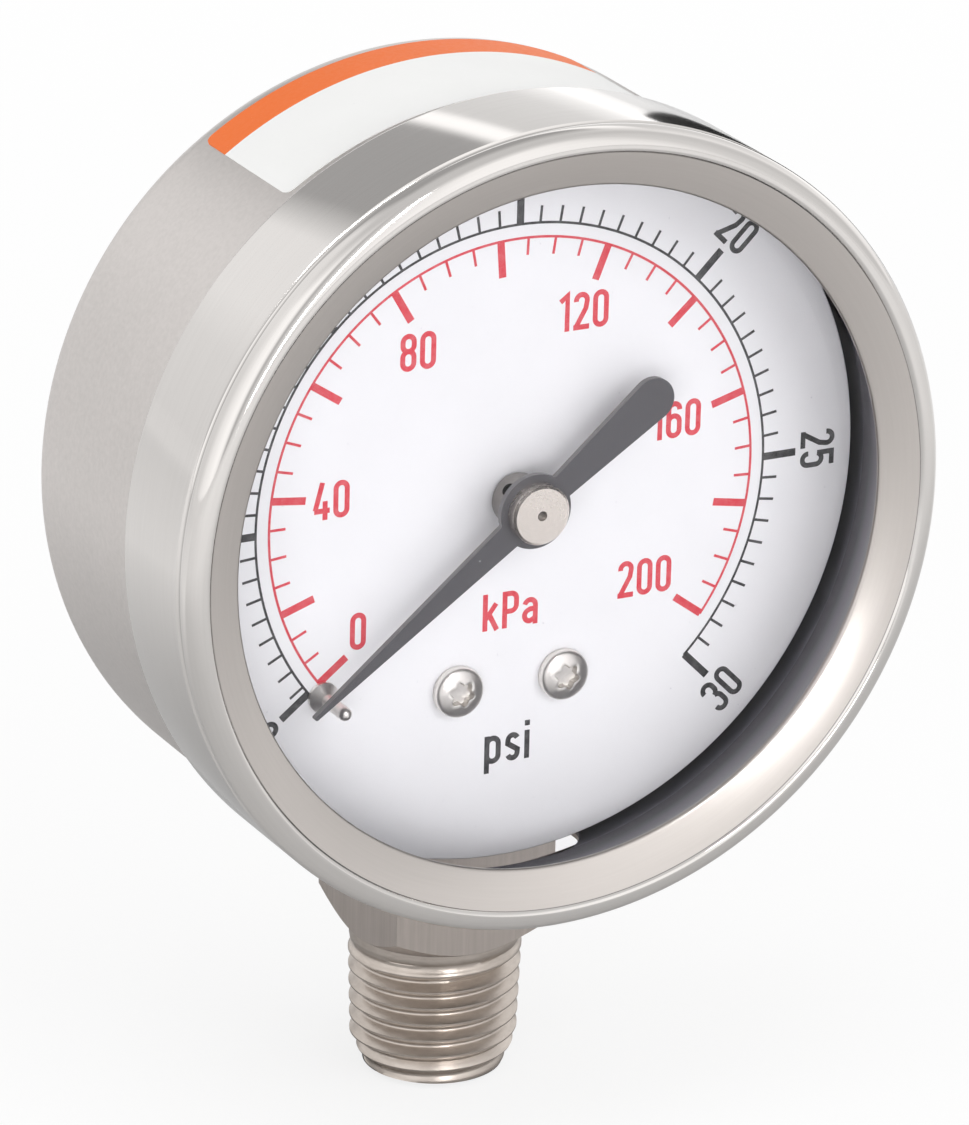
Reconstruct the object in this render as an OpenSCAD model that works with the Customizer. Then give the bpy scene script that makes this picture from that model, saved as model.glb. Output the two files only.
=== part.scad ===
// Dial pressure gauge with a bottom connection and a Bourdon tube movement.
// Millimetres, +Z up. The stem stands on Z = 0 on the Z axis and the dial faces -Y.

/* [Layout] */
// Height of the dial axis over the stem end
axis_height = 52; // [48:0.1:60]
// Distance of the dial face in front of the stem axis
dial_setback = 11.5; // [10:0.1:13]

/* [Case] */
// Outside diameter of the case cup
case_d = 63.1; // [62:0.1:66]
// Sheet thickness of the case cup
case_wall = 0.8; // [0.5:0.05:1]
// Distance from the dial face back to the outside of the case back
case_depth = 20.8; // [20.4:0.1:24]
// Outside radius of the corner at the case back
case_corner_r = 3; // [1.5:0.1:5]
// Height of the case rim in front of the dial face
case_rim_h = 4.9; // [4.6:0.05:5.1]
// Room beside the socket block in the case opening
opening_side_gap = 0.4; // [0.2:0.1:1]
// Room in front of the socket block in the case opening
opening_front_gap = 5.4; // [4:0.1:5.8]
// Radius of the two front corners of the case opening
opening_corner_r = 3; // [1:0.1:4]
// Room behind the socket block in the case opening
opening_rear_gap = 0.6; // [0.3:0.1:1]

/* [Bezel ring] */
// Wall of the bezel skirt
bezel_wall = 0.8; // [0.6:0.05:1]
// Distance of the skirt's rear edge behind the dial face
bezel_back = 1.5; // [0.5:0.1:2.5]
// Radius of the rolled bead
bead_r = 1.2; // [1:0.05:1.4]
// Height of the bead's crest in front of the dial face
bead_top = 10.2; // [10:0.1:10.8]
// Radius of the groove between the skirt and the bead
groove_r = 0.3; // [0.15:0.05:0.4]
// Distance of the groove below the bead's centre
groove_drop = 0.85; // [0.7:0.05:1]
// Overlap of the lip over the window
lip_lap = 3.45; // [3:0.05:4]
// Thickness of the lip
lip_wall = 0.75; // [0.5:0.05:0.8]
// Rise of the lip from its inner edge to the crease
lip_rise = 0.6; // [0.3:0.05:0.8]
// Distance of the crease inside the bead's centre
crease_inset = 1.4; // [1.3:0.05:1.8]
// Angle on the bead where the slope to the crease starts
bead_slope_angle = 125; // [110:1:140]

/* [Window] */
// Distance of the window's edge from the outside of the case
window_margin = 0.55; // [0.4:0.05:0.6]
// Thickness of the window
window_t = 2.35; // [1.8:0.05:2.5]
// Edge chamfer of the window
window_chamfer = 0.2; // [0.1:0.05:0.4]
// Wall of the gasket's sleeve in the case
gasket_wall = 0.5; // [0.3:0.05:0.6]
// Height of the gasket's rear edge in front of the dial face
gasket_back_h = 1.6; // [1.2:0.1:3]
// Thickness of the gasket between the case rim and the window
gasket_ledge = 0.55; // [0.4:0.05:0.8]

/* [Dial] */
// Room between the dial's edge and the inside of the case
dial_margin = 0.75; // [0.4:0.05:1.5]
// Thickness of the dial plate
dial_t = 0.8; // [0.5:0.05:1]
// Diameter of the hole in the middle of the dial
dial_hole_d = 3; // [2.4:0.1:4]
// Half the distance between the two dial screws
dial_screw_x = 4.6; // [4.2:0.05:5]
// Distance of the dial screws below the dial axis
dial_screw_drop = 15.35; // [15.3:0.05:15.8]
// Diameter of the dial screw heads
dial_screw_head_d = 4.1; // [3.8:0.1:4.8]
// Height of the dial screw heads
dial_screw_head_h = 1.3; // [1:0.1:1.6]
// Height of the straight edge of those heads
dial_screw_edge_h = 0.75; // [0.4:0.05:0.9]
// Shank diameter of the dial screws
dial_screw_d = 2.2; // [1.8:0.1:2.5]
// Shank length of the dial screws under the head
dial_screw_len = 3.6; // [3:0.1:3.8]
// Diameter across the lobes of the screw recess
recess_d = 2.2; // [1.6:0.1:2.4]
// Depth of the screw recess
recess_depth = 0.7; // [0.4:0.1:0.9]
// Diameter of the dial posts
dial_post_d = 4; // [3.4:0.1:4.2]
// Diameter of the spigot that holds a dial post in the block
post_spigot_d = 2.4; // [2:0.1:2.8]
// Length of that spigot
post_spigot_len = 3; // [2:0.1:4]

/* [Stop pin] */
// Distance of the stop pin from the dial axis
stop_r = 21.4; // [20:0.1:22.5]
// Angle left between the pointer and the stop pin
stop_lead = 3.65; // [3:0.01:4.4]
// Diameter of the stop pin
stop_pin_d = 1.1; // [0.8:0.05:1.1]
// Height of the stop pin in front of the dial face
stop_pin_h = 4.4; // [3.9:0.1:5]
// Diameter of the flared foot of the stop pin
stop_foot_d = 2.5; // [2:0.1:3]
// Height of the flared foot
stop_foot_h = 1; // [0.6:0.1:1.4]
// Diameter of the rivet head behind the dial
stop_rivet_d = 1.8; // [1.5:0.1:2.2]
// Thickness of the rivet head
stop_rivet_h = 0.5; // [0.3:0.05:0.7]

/* [Pointer] */
// Direction of the pointer at rest, counter-clockwise from the right
pointer_rest = 217.4; // [216:0.1:220]
// Angle that the pointer turns clockwise over the scale
pointer_sweep = 263; // [240:1:270]
// Height of the pointer's front face over the dial face
pointer_h = 3.8; // [3.6:0.1:4]
// Thickness of the pointer blade
pointer_t = 0.5; // [0.3:0.05:0.6]
// Length from the axis to the pointer tip
pointer_len = 23.4; // [22:0.05:24]
// Width of the blade over the axis
pointer_root_w = 2.5; // [2:0.05:3]
// Width of the blade at the rounded tip
pointer_tip_w = 0.35; // [0.3:0.05:1]
// Length from the axis to the end of the tail
pointer_tail_len = 14.4; // [12:0.1:16]
// Width of the tail over the axis
pointer_tail_root_w = 1.7; // [1.4:0.05:3.2]
// Width of the tail at its rounded end
pointer_tail_w = 3.55; // [3:0.05:4]
// Diameter of the ring around the hub
pointer_ring_d = 6.05; // [5.4:0.05:7]
// Diameter of the hub boss
hub_d = 4.2; // [3.8:0.1:4.6]
// Height of the boss over the dial face
hub_back_h = 0.45; // [0.3:0.05:0.8]
// Diameter of the neck that carries the blade
hub_neck_d = 3; // [2.6:0.1:3.4]
// Diameter of the cross hole in the boss
hub_cross_d = 1.1; // [0.8:0.1:1.3]
// Height of the cross hole over the dial face
hub_cross_h = 1.9; // [1.4:0.1:2.2]
// Angle between the pointer and the cross hole
hub_cross_turn = 81; // [60:1:120]
// Diameter of the pointer cap
cap_d = 4.85; // [4.4:0.05:5.2]
// Thickness of the pointer cap
cap_t = 1.05; // [0.8:0.05:1.2]
// Bevel on the cap's front edge
cap_bevel = 0.2; // [0.1:0.05:0.4]
// Diameter of the hole in the cap
cap_hole_d = 0.8; // [0.6:0.05:0.9]

/* [Socket] */
// Thread diameter at the stem end
thread_d = 13.3; // [13:0.05:13.5]
// Thread diameter at its upper end
thread_top_d = 14; // [13.7:0.05:14.2]
// Length of the threaded part
thread_len = 10.6; // [10:0.1:12]
// Height of the chamfer at the stem end
stem_chamfer_h = 2.4; // [1.5:0.1:3]
// Depth of the chamfer at the stem end
stem_chamfer = 1; // [0.6:0.05:1.2]
// Length of the plain collar over the thread
collar_len = 1; // [0.6:0.1:1.6]
// Diameter of the plain collar
collar_d = 13.8; // [13.2:0.05:13.9]
// Height of the turned cone under the square block
cone_h = 2; // [1.5:0.1:3]
// Width of the square block across its flats
block_w = 14; // [14:0.1:15]
// Distance of the block's top below the dial axis
block_top_drop = 13.2; // [13.1:0.05:13.3]
// Diameter of the pressure port
port_d = 6; // [4:0.1:7]
// Length of the pressure port
port_len = 14; // [10:0.5:16]
// Diameter of the passage from the port to the tube
passage_d = 2.5; // [2:0.1:3]
// Width of the tongue that carries the movement
tongue_w = 10; // [9:0.1:10.5]
// Distance of the tongue's left side from the stem axis
tongue_left = 7; // [6.5:0.1:7]
// Thickness of the tongue
tongue_t = 6; // [5:0.1:7]
// Height of the tongue over the block
tongue_h = 8.4; // [8:0.1:9]
// Diameter of the seats behind the block
seat_d = 6; // [5.4:0.1:6.4]

/* [Case fixings] */
// Half the distance between the case screws
case_screw_x = 4; // [3.4:0.1:4]
// Distance of the case screws from the lowest line of the case
case_screw_margin = 7.05; // [6:0.05:7.25]
// Shank diameter of the case screws
case_screw_d = 2.8; // [2.4:0.1:3]
// Shank length of the case screws
case_screw_len = 6; // [4:0.5:7]
// Head diameter of the case screws
case_screw_head_d = 4.8; // [4.2:0.1:5.4]
// Head height of the case screws
case_screw_head_h = 1.5; // [1.2:0.1:1.8]
// Distance of the relief plug from the highest line of the case
plug_margin = 15.55; // [12:0.05:18]
// Diameter of the relief plug's neck
plug_neck_d = 9; // [7:0.1:10]
// Overlap of the plug's flanges over the hole
plug_lap = 1.1; // [0.8:0.1:1.5]
// Thickness of the plug's flanges
plug_flange_t = 0.9; // [0.6:0.1:1.2]

/* [Bourdon tube] */
// Radius of the tube's centre line
tube_r = 20; // [19.5:0.1:20.5]
// Depth of the flattened section, along the dial axis
tube_depth = 9; // [8.6:0.1:9.4]
// Thickness of the flattened section
tube_t = 4; // [3.6:0.1:4.2]
// Wall of the tube
tube_wall = 0.4; // [0.3:0.05:0.5]
// Distance of the tube's middle behind the dial face
tube_back = 12.5; // [12.3:0.1:12.7]
// Direction of the brazed end of the tube
tube_root_angle = 256; // [255:0.5:257]
// Direction of the free end of the tube
tube_end_angle = -25; // [-27:0.5:-23]
// Thickness of the tip piece over the free end
tip_t = 1.6; // [1.2:0.1:2]
// Rim of the tip piece around the tube
tip_rim = 0.4; // [0.2:0.05:0.5]

/* [Movement] */
// Tooth module of the pinion and the sector
tooth_module = 0.25; // [0.24:0.002:0.26]
// Teeth of the pinion
pinion_teeth = 12; // [12:1:12]
// Teeth of the full circle of the sector
sector_full_teeth = 84; // [84:1:84]
// Teeth that are cut on the sector
sector_teeth = 12; // [11:1:13]
// Pressure angle of the teeth
pressure_angle = 20; // [20:0.5:22]
// Tooth head of the pinion in modules
pinion_head = 1; // [0.9:0.05:1]
// Tooth head of the sector in modules
sector_head = 0.7; // [0.6:0.05:0.7]
// Room under the mating tooth head
tooth_floor = 0.06; // [0.05:0.01:0.08]
// Thinning of each tooth for backlash
tooth_thinning = 0.03; // [0.02:0.005:0.04]
// Length of the pinion teeth
pinion_len = 1.8; // [1.6:0.1:2]
// Direction of the sector pivot from the dial axis
pivot_angle = -60; // [-61:0.5:-59]
// Thickness of the sector gear
sector_t = 1; // [0.8:0.05:1.1]
// Distance of the sector's front face behind the dial face
sector_back = 3.9; // [3.8:0.05:4]
// Width of the sector's rim
sector_rim = 1.3; // [1:0.1:1.6]
// Diameter of the sector's hub
sector_hub_d = 3.6; // [3.2:0.1:3.8]
// Width of the sector's two spokes
sector_spoke_w = 1.5; // [1.2:0.1:1.8]
// Length of the sector's tail
tail_len = 6.5; // [6.3:0.1:6.7]
// Diameter of the eyes on the tail, the link and the tip piece
eye_d = 2.8; // [2.4:0.1:3]
// Diameter of the tail pin and the tip pin
link_pin_d = 1.2; // [1:0.05:1.3]
// Head diameter of these pins
link_pin_head_d = 2.2; // [1.9:0.1:2.4]
// Head height of these pins
link_pin_head_h = 0.4; // [0.3:0.05:0.5]
// Thickness of the link bar
link_t = 0.8; // [0.6:0.05:0.9]
// Waist of the link bar
link_waist_w = 1.8; // [1.4:0.1:2.2]
// Sideways position of the tip pin
tip_pin_x = 13.5; // [13.2:0.1:13.8]
// Distance of the tip pin below the dial axis
tip_pin_drop = 6; // [5.7:0.1:6.3]
// Thickness of the tongue on the tip piece
tip_tongue_t = 1; // [0.8:0.05:1.1]
// Radius of the arc on which the tip pin moves
tip_swing_r = 34; // [30:0.5:40]
// Distance of the front plate's front face behind the dial face
front_plate_back = 2.2; // [2.1:0.05:2.3]
// Thickness of the front plate
front_plate_t = 1; // [0.8:0.05:1.05]
// Distance of the rear plate's front face behind the dial face
rear_plate_back = 8.8; // [8.6:0.05:8.9]
// Thickness of the rear plate
rear_plate_t = 1.2; // [1:0.05:1.4]
// Radius of the plate corners
plate_corner_r = 2; // [1.8:0.05:2.05]
// Diameter of the pillars
pillar_d = 2.5; // [2.2:0.1:2.8]
// Diameter of the pillar tenons
tenon_d = 1.4; // [1.2:0.05:1.6]
// Sideways position of the left pillars
pillar_left_x = -6.5; // [-6.8:0.1:-6.2]
// Height of the upper left pillar
pillar_left_rise = 2.5; // [2:0.1:3.5]
// Distance of the lower left pillar below the dial axis
pillar_low_drop = 11; // [10.8:0.1:11]
// Sideways position of the right pillar
pillar_right_x = 10.5; // [10:0.1:11]
// Height of the right pillar
pillar_right_rise = 3; // [2.6:0.1:4]
// Head diameter of the plate screws
plate_screw_head_d = 3; // [2.6:0.1:3.4]
// Head height of the plate screws
plate_screw_head_h = 0.7; // [0.5:0.05:0.8]
// Shank diameter of the plate screws
plate_screw_d = 1; // [0.8:0.05:1]
// Shank length of the plate screws
plate_screw_len = 2.6; // [2:0.1:3]
// Slot width of the plain screws
screw_slot_w = 0.5; // [0.4:0.05:0.6]
// Slot depth of the plain screws
screw_slot_depth = 0.35; // [0.2:0.05:0.4]
// Head diameter of the movement screws
move_screw_head_d = 3.2; // [2.8:0.1:3.4]
// Head height of the movement screws
move_screw_head_h = 1; // [0.8:0.1:1.2]
// Shank diameter of the movement screws
move_screw_d = 1.8; // [1.6:0.1:2]
// Shank length of the movement screws
move_screw_len = 4.6; // [4:0.1:5]
// Sideways position of the upper movement screw
move_screw_x1 = -4; // [-4.4:0.1:-3.6]
// Distance of the upper movement screw below the dial axis
move_screw_drop1 = 7.3; // [7.2:0.1:7.5]
// Sideways position of the lower movement screw
move_screw_x2 = 0.5; // [0.2:0.1:0.8]
// Distance of the lower movement screw below the dial axis
move_screw_drop2 = 10.6; // [10.4:0.1:10.8]
// Diameter of both arbors between the plates
arbor_d = 1.6; // [1.4:0.05:1.7]
// Diameter of the arbor pivots in the plates
pivot_d = 1; // [0.8:0.05:1]
// Diameter of the pinion arbor in the front plate and the dial
shaft_d = 1.2; // [1.1:0.05:1.3]
// Diameter of the shaft end in the pointer hub
shaft_end_d = 0.95; // [0.85:0.05:1]
// Room between an arbor shoulder and a plate
end_shake = 0.15; // [0.1:0.01:0.2]

/* [Hairspring] */
// Thickness of the spring strip
spring_t = 0.12; // [0.1:0.01:0.15]
// Width of the spring strip, along the dial axis
spring_w = 0.8; // [0.6:0.05:0.9]
// Inner radius of the spiral
spring_in_r = 1.5; // [1.4:0.05:1.6]
// Distance between two turns
spring_pitch = 0.6; // [0.55:0.01:0.65]
// Turns of the spiral
spring_turns = 5; // [4:0.25:5]
// Distance of the spring's front edge behind the dial face
spring_back = 6.3; // [6.2:0.05:6.4]
// Diameter of the collet on the arbor
collet_d = 2.4; // [2.2:0.05:2.5]
// Diameter of the stud that holds the outer end
stud_d = 1; // [0.8:0.05:1.1]

/* [Fits] */
// Radial clearance of running pivots
run_gap = 0.03; // [0.02:0.005:0.05]
// Radial clearance of pressed and screwed joints
press_gap = 0.02; // [0.01:0.005:0.03]
// Clearance of parts that slide over each other when they are put together
slide_gap = 0.05; // [0.03:0.01:0.08]
// Radial clearance of the link on the tip pin
open_pivot_gap = 0.42; // [0.38:0.01:0.45]
// Room between two moving layers of the movement
layer_gap = 0.3; // [0.25:0.01:0.35]
// Extra depth of blind holes
drill_extra = 0.3; // [0.2:0.05:0.5]

/* [Hidden] */
$fn = 96;
eps = 0.01;
weld = 0.002;
cut = 1;

// Case and window
case_r = case_d / 2;
case_in_r = case_r - case_wall;
case_back_in = case_depth - case_wall;
bezel_in_r = case_r + slide_gap;
bezel_out_r = bezel_in_r + bezel_wall;
bead_c = bezel_out_r - bead_r;
bead_h = bead_top - bead_r;
window_r = case_r - window_margin;
gasket_r = case_in_r - slide_gap - gasket_wall;
lip_r = window_r - lip_lap;
dial_r = case_in_r - dial_margin;
case_screw_drop = case_r - case_screw_margin;
plug_rise = case_r - plug_margin;
gasket_flange_h = case_rim_h + slide_gap;
gasket_seat_h = gasket_flange_h + gasket_ledge;
window_h = gasket_seat_h + slide_gap / 2;
gasket_top = window_h + window_t + slide_gap / 2;
clamp_h = gasket_top + slide_gap;
lip_h = clamp_h + slide_gap + lip_wall;
crease_r = bead_c - crease_inset;
crease_h = lip_h + lip_rise;

// Socket, from the stem end upward, and its depths behind the dial face
collar_z = thread_len;
cone_z = collar_z + collar_len;
block_z = cone_z + cone_h;
block_top_z = axis_height - block_top_drop;
block_front_back = dial_setback - block_w / 2;
block_rear_back = dial_setback + block_w / 2;
seat_len = case_back_in - block_rear_back - slide_gap;
tongue_back = rear_plate_back + rear_plate_t;
post_foot = -block_front_back - post_spigot_len;

// Movement
gear_ratio = sector_full_teeth / pinion_teeth;
pinion_r = tooth_module * pinion_teeth / 2;
sector_r = tooth_module * sector_full_teeth / 2;
pinion_head_r = pinion_r + pinion_head * tooth_module;
sector_head_r = sector_r + sector_head * tooth_module;
sector_root_r = sector_r - (pinion_head * tooth_module + tooth_floor);
pinion_root_r = pinion_r - (sector_head * tooth_module + tooth_floor);
pivot = polar(pinion_r + sector_r, pivot_angle);
mesh_angle = pivot_angle + 180;
sector_pitch_angle = 360 / sector_full_teeth;
sector_sweep = pointer_sweep / gear_ratio;
tail_rest = -sector_sweep / 2;
tail_at = pivot + polar(tail_len, tail_rest);
tip_at = [tip_pin_x, -tip_pin_drop];
tip_lift = 2 * tail_len * sin(sector_sweep / 2);
tip_swing = 2 * asin(tip_lift / 2 / tip_swing_r);
tip_centre = tip_at + [-tip_swing_r * cos(tip_swing / 2), tip_lift / 2];
link_back = sector_back + sector_t + layer_gap;
tip_tongue_back = link_back + link_t + layer_gap;
shoulder_h = -front_plate_back - front_plate_t - end_shake;
pillars_at = [
    [pillar_left_x, pillar_left_rise],
    [pillar_right_x, pillar_right_rise],
    [pillar_left_x, -pillar_low_drop]
];
move_screws_at = [[move_screw_x1, -move_screw_drop1], [move_screw_x2, -move_screw_drop2]];
dial_screws_at = [[-dial_screw_x, -dial_screw_drop], [dial_screw_x, -dial_screw_drop]];
case_screws_at = [[-case_screw_x, -case_screw_drop], [case_screw_x, -case_screw_drop]];
spring_out_r = spring_in_r + spring_pitch * spring_turns;
stop_at = polar(stop_r, pointer_rest + stop_lead);

// Formulas
function polar(r, a) = [r * cos(a), r * sin(a)];
function inv(a) = tan(a) * 180 / PI - a;
function roll_angle(base_r, r) = inv(acos(min(1, base_r / r)));
function half_tooth(r, pitch_r, base_r) =
    (PI * tooth_module / 2 - tooth_thinning) / 2 / pitch_r * 180 / PI
    + inv(pressure_angle) - roll_angle(base_r, r);

// One tooth flank pair, pointing along +X, from under the root to the head
function tooth_points(pitch_r, root_r, head_r, steps = 6) =
    let (base_r = pitch_r * cos(pressure_angle))
    let (start_r = max(base_r, root_r))
    let (radii = [for (i = [0:steps]) start_r + (head_r - start_r) * i / steps])
    let (foot = half_tooth(start_r, pitch_r, base_r))
    concat(
        [polar(root_r * 0.98, -foot)],
        [for (r = radii) polar(r, -half_tooth(r, pitch_r, base_r))],
        [for (i = [steps:-1:0]) polar(radii[i], half_tooth(radii[i], pitch_r, base_r))],
        [polar(root_r * 0.98, foot)]
    );

// Places a child drawn with +X right, +Y up and +Z toward the reader
module dial_frame(back = 0) {
    translate([0, -dial_setback + back, axis_height])
        rotate([90, 0, 0])
            children();
}

// Bar with two round ends of unequal size, joined close to their common tangents
module bar_2d(p, q, rp, rq) {
    d = q - p;
    along = atan2(d[1], d[0]);
    lean = acos((rp - rq) / norm(d));
    translate(p)
        circle(rp);
    translate(q)
        circle(rq);
    polygon([
        p + polar(rp - weld, along + lean),
        p + polar(rp - weld, along - lean),
        q + polar(rq - weld, along - lean),
        q + polar(rq - weld, along + lean)
    ]);
}

// Round bars in rows: a list of places, one height and one diameter
module pins(places, from, to, d) {
    for (p = places)
        translate([p[0], p[1], from])
            cylinder(d = d, h = to - from);
}

// Flattened tube section in the radius and depth plane
module tube_section(grow = 0) {
    t = tube_t + 2 * grow;
    flat = tube_depth - tube_t;
    translate([tube_r - t / 2, -flat / 2])
        square([t, flat]);
    for (s = [-1, 1])
        translate([tube_r, s * flat / 2])
            circle(d = t);
}

// Case and front

module case_2d() {
    difference() {
        union() {
            translate([0, -case_depth])
                square([case_r - case_corner_r, case_corner_r]);
            translate([0, case_corner_r - case_depth])
                square([case_r, case_rim_h + case_depth - case_corner_r]);
            intersection() {
                translate([case_r - case_corner_r, case_corner_r - case_depth])
                    circle(case_corner_r);
                translate([0, -case_depth])
                    square([case_r, case_corner_r]);
            }
        }
        corner_in_r = case_corner_r - case_wall;
        translate([0, -case_back_in])
            square([case_in_r - corner_in_r, case_back_in + case_rim_h + cut]);
        translate([0, corner_in_r - case_back_in])
            square([case_in_r, case_back_in - corner_in_r + case_rim_h + cut]);
        translate([case_in_r - corner_in_r, corner_in_r - case_back_in])
            circle(corner_in_r);
    }
}

// Opening for the socket, seen from below, with the front at +Y
module opening_2d() {
    half_w = block_w / 2 + opening_side_gap;
    round_w = half_w - opening_corner_r;
    front = opening_front_gap - block_front_back;
    back = -block_rear_back - opening_rear_gap;
    translate([-half_w, back])
        square([2 * half_w, front - opening_corner_r - back]);
    translate([-round_w, back])
        square([2 * round_w, front - back]);
    for (s = [-1, 1])
        translate([s * round_w, front - opening_corner_r])
            circle(opening_corner_r);
}

module case_shell() {
    color("silver")
        dial_frame()
            difference() {
                rotate_extrude()
                    case_2d();
                rotate([90, 0, 0])
                    translate([0, 0, case_in_r * 0.8])
                        linear_extrude(case_r)
                            opening_2d();
                pins(case_screws_at, -case_depth - cut, cut - case_back_in, case_screw_d + 2 * slide_gap);
                translate([0, plug_rise, -case_depth - cut])
                    cylinder(d = plug_neck_d, h = case_wall + 2 * cut);
            }
}

module bezel_2d() {
    difference() {
        union() {
            translate([bezel_in_r, bezel_wall / 2 - bezel_back])
                square([bezel_wall, bead_h + bezel_back - bezel_wall / 2]);
            translate([bezel_in_r + bezel_wall / 2, bezel_wall / 2 - bezel_back])
                circle(d = bezel_wall);
            translate([bead_c, bead_h])
                circle(bead_r);
            translate([lip_r + lip_wall / 2, lip_h - lip_wall / 2])
                circle(d = lip_wall);
            polygon([
                [lip_r + lip_wall / 2, lip_h - lip_wall],
                [bead_c, lip_h - lip_wall],
                [bead_c, bead_h],
                [bead_c, bead_h] + polar(bead_r, bead_slope_angle),
                [crease_r, crease_h],
                [lip_r + lip_wall / 2, lip_h]
            ]);
        }
        translate([crease_r, -bezel_back])
            square([bezel_in_r - crease_r, clamp_h + bezel_back]);
        translate([bezel_out_r, bead_h - groove_drop])
            circle(groove_r);
    }
}

module bezel_ring() {
    color("gainsboro")
        dial_frame()
            rotate_extrude()
                bezel_2d();
}

module window() {
    r = window_r;
    color("lightcyan", 0.4)
        dial_frame()
            translate([0, 0, window_h])
                rotate_extrude()
                    polygon([
                        [0, 0],
                        [r - window_chamfer, 0],
                        [r, window_chamfer],
                        [r, window_t - window_chamfer],
                        [r - window_chamfer, window_t],
                        [0, window_t]
                    ]);
}

module window_gasket() {
    seat_r = window_r + slide_gap;
    sleeve_r = case_in_r - slide_gap;
    color("dimgray")
        dial_frame()
            rotate_extrude()
                polygon([
                    [gasket_r, gasket_back_h],
                    [sleeve_r, gasket_back_h],
                    [sleeve_r, gasket_flange_h],
                    [case_r - slide_gap, gasket_flange_h],
                    [case_r - slide_gap, gasket_top],
                    [seat_r, gasket_top],
                    [seat_r, gasket_seat_h],
                    [gasket_r, gasket_seat_h]
                ]);
}

// Dial

module dial_plate() {
    color("white")
        dial_frame()
            difference() {
                translate([0, 0, -dial_t])
                    cylinder(r = dial_r, h = dial_t);
                pins([[0, 0]], -dial_t - cut, cut, dial_hole_d);
                pins(dial_screws_at, -dial_t - cut, cut, dial_screw_d + 2 * slide_gap);
                pins([stop_at], -dial_t - cut, cut, stop_pin_d + 2 * press_gap);
            }
}

module dial_screw() {
    head_r = dial_screw_head_d / 2;
    dome_h = dial_screw_head_h - dial_screw_edge_h;
    dome_r = (head_r * head_r + dome_h * dome_h) / (2 * dome_h);
    difference() {
        union() {
            rotate_extrude()
                intersection() {
                    translate([0, dial_screw_head_h - dome_r])
                        circle(dome_r);
                    square([head_r, dial_screw_head_h]);
                }
            translate([0, 0, -dial_screw_len])
                cylinder(d = dial_screw_d, h = dial_screw_len + eps);
        }
        translate([0, 0, dial_screw_head_h - recess_depth])
            lobed_recess();
    }
}

// Six-lobe recess
module lobed_recess() {
    lobe_r = recess_d / 9;
    cylinder(r = recess_d / 2 - lobe_r, h = recess_depth + cut);
    for (a = [0:60:300])
        rotate(a)
            translate([recess_d / 2 - lobe_r, 0, 0])
                cylinder(r = lobe_r, h = recess_depth + cut);
}

module dial_screws() {
    color("lightgray")
        dial_frame()
            for (p = dial_screws_at)
                translate([p[0], p[1], press_gap])
                    dial_screw();
}

module dial_posts() {
    hole_depth = dial_screw_len - dial_t + drill_extra;
    color("silver")
        dial_frame()
            difference() {
                union() {
                    pins(dial_screws_at, -block_front_back, -dial_t - press_gap, dial_post_d);
                    pins(dial_screws_at, post_foot, -block_front_back, post_spigot_d);
                }
                pins(dial_screws_at, -dial_t - hole_depth, 0, dial_screw_d + 2 * press_gap);
            }
}

module stop_pin() {
    r = stop_pin_d / 2;
    color("lightgray")
        dial_frame()
            translate([stop_at[0], stop_at[1], 0])
                rotate_extrude() {
                    polygon([
                        [0, -dial_t - stop_rivet_h],
                        [stop_rivet_d / 2, -dial_t - stop_rivet_h],
                        [stop_rivet_d / 2, -dial_t - press_gap],
                        [r, -dial_t - press_gap],
                        [r, press_gap],
                        [stop_foot_d / 2, press_gap],
                        [stop_foot_d / 2, stop_foot_h * 0.3],
                        [r, stop_foot_h],
                        [r, stop_pin_h - r],
                        [0, stop_pin_h - r]
                    ]);
                    intersection() {
                        translate([0, stop_pin_h - r])
                            circle(r);
                        translate([0, stop_pin_h - r])
                            square(r);
                    }
                }
}

// Socket

module stem_2d() {
    r = thread_d / 2;
    taper = (thread_top_d - thread_d) / 2 / thread_len;
    polygon([
        [0, 0],
        [r - stem_chamfer, 0],
        [r + taper * stem_chamfer_h, stem_chamfer_h],
        [thread_top_d / 2, thread_len],
        [collar_d / 2, thread_len],
        [collar_d / 2, cone_z],
        [0, cone_z]
    ]);
}

module socket() {
    corner_r = block_w / sqrt(2);
    cross_drop = -tube_r * sin(tube_root_angle);
    cross_z = axis_height - cross_drop;
    root_x = tube_r * cos(tube_root_angle);
    case_screw_hole = case_screw_len + drill_extra;
    move_screw_hole = move_screw_len + drill_extra;
    color("tan")
        difference() {
            union() {
                rotate_extrude()
                    stem_2d();
                intersection() {
                    translate([-block_w / 2, -block_w / 2, cone_z])
                        cube([block_w, block_w, block_top_z - cone_z]);
                    union() {
                        translate([0, 0, cone_z])
                            cylinder(r1 = collar_d / 2, r2 = 2 * corner_r - collar_d / 2, h = 2 * cone_h);
                        translate([0, 0, block_z + cone_h / 2])
                            cylinder(r = corner_r + cut, h = block_top_z);
                    }
                }
                translate([-tongue_left, tongue_back - dial_setback, block_top_z - eps])
                    cube([tongue_w, tongue_t, tongue_h]);
                dial_frame()
                    pins(case_screws_at, -block_rear_back - seat_len, cut - block_rear_back, seat_d);
            }
            translate([0, 0, -cut])
                cylinder(d = port_d, h = port_len + cut);
            cylinder(d = passage_d, h = cross_z);
            translate([root_x, 0, cross_z])
                rotate([0, 90, 0])
                    cylinder(d = passage_d, h = -root_x);
            dial_frame()
                tube_pocket();
            dial_frame() {
                pins(dial_screws_at, post_foot - drill_extra, 0, post_spigot_d + 2 * press_gap);
                pins(case_screws_at, -case_depth, case_screw_hole - case_depth, case_screw_d + 2 * press_gap);
                pins(move_screws_at, -rear_plate_back - move_screw_hole, 0, move_screw_d + 2 * press_gap);
            }
        }
}

// Slot in the block for the brazed end of the tube
module tube_pocket() {
    deeper = 1;
    translate([0, 0, -tube_back])
        rotate(tube_root_angle - 30)
            rotate_extrude(angle = 30 + deeper)
                tube_section(slide_gap);
}

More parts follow.
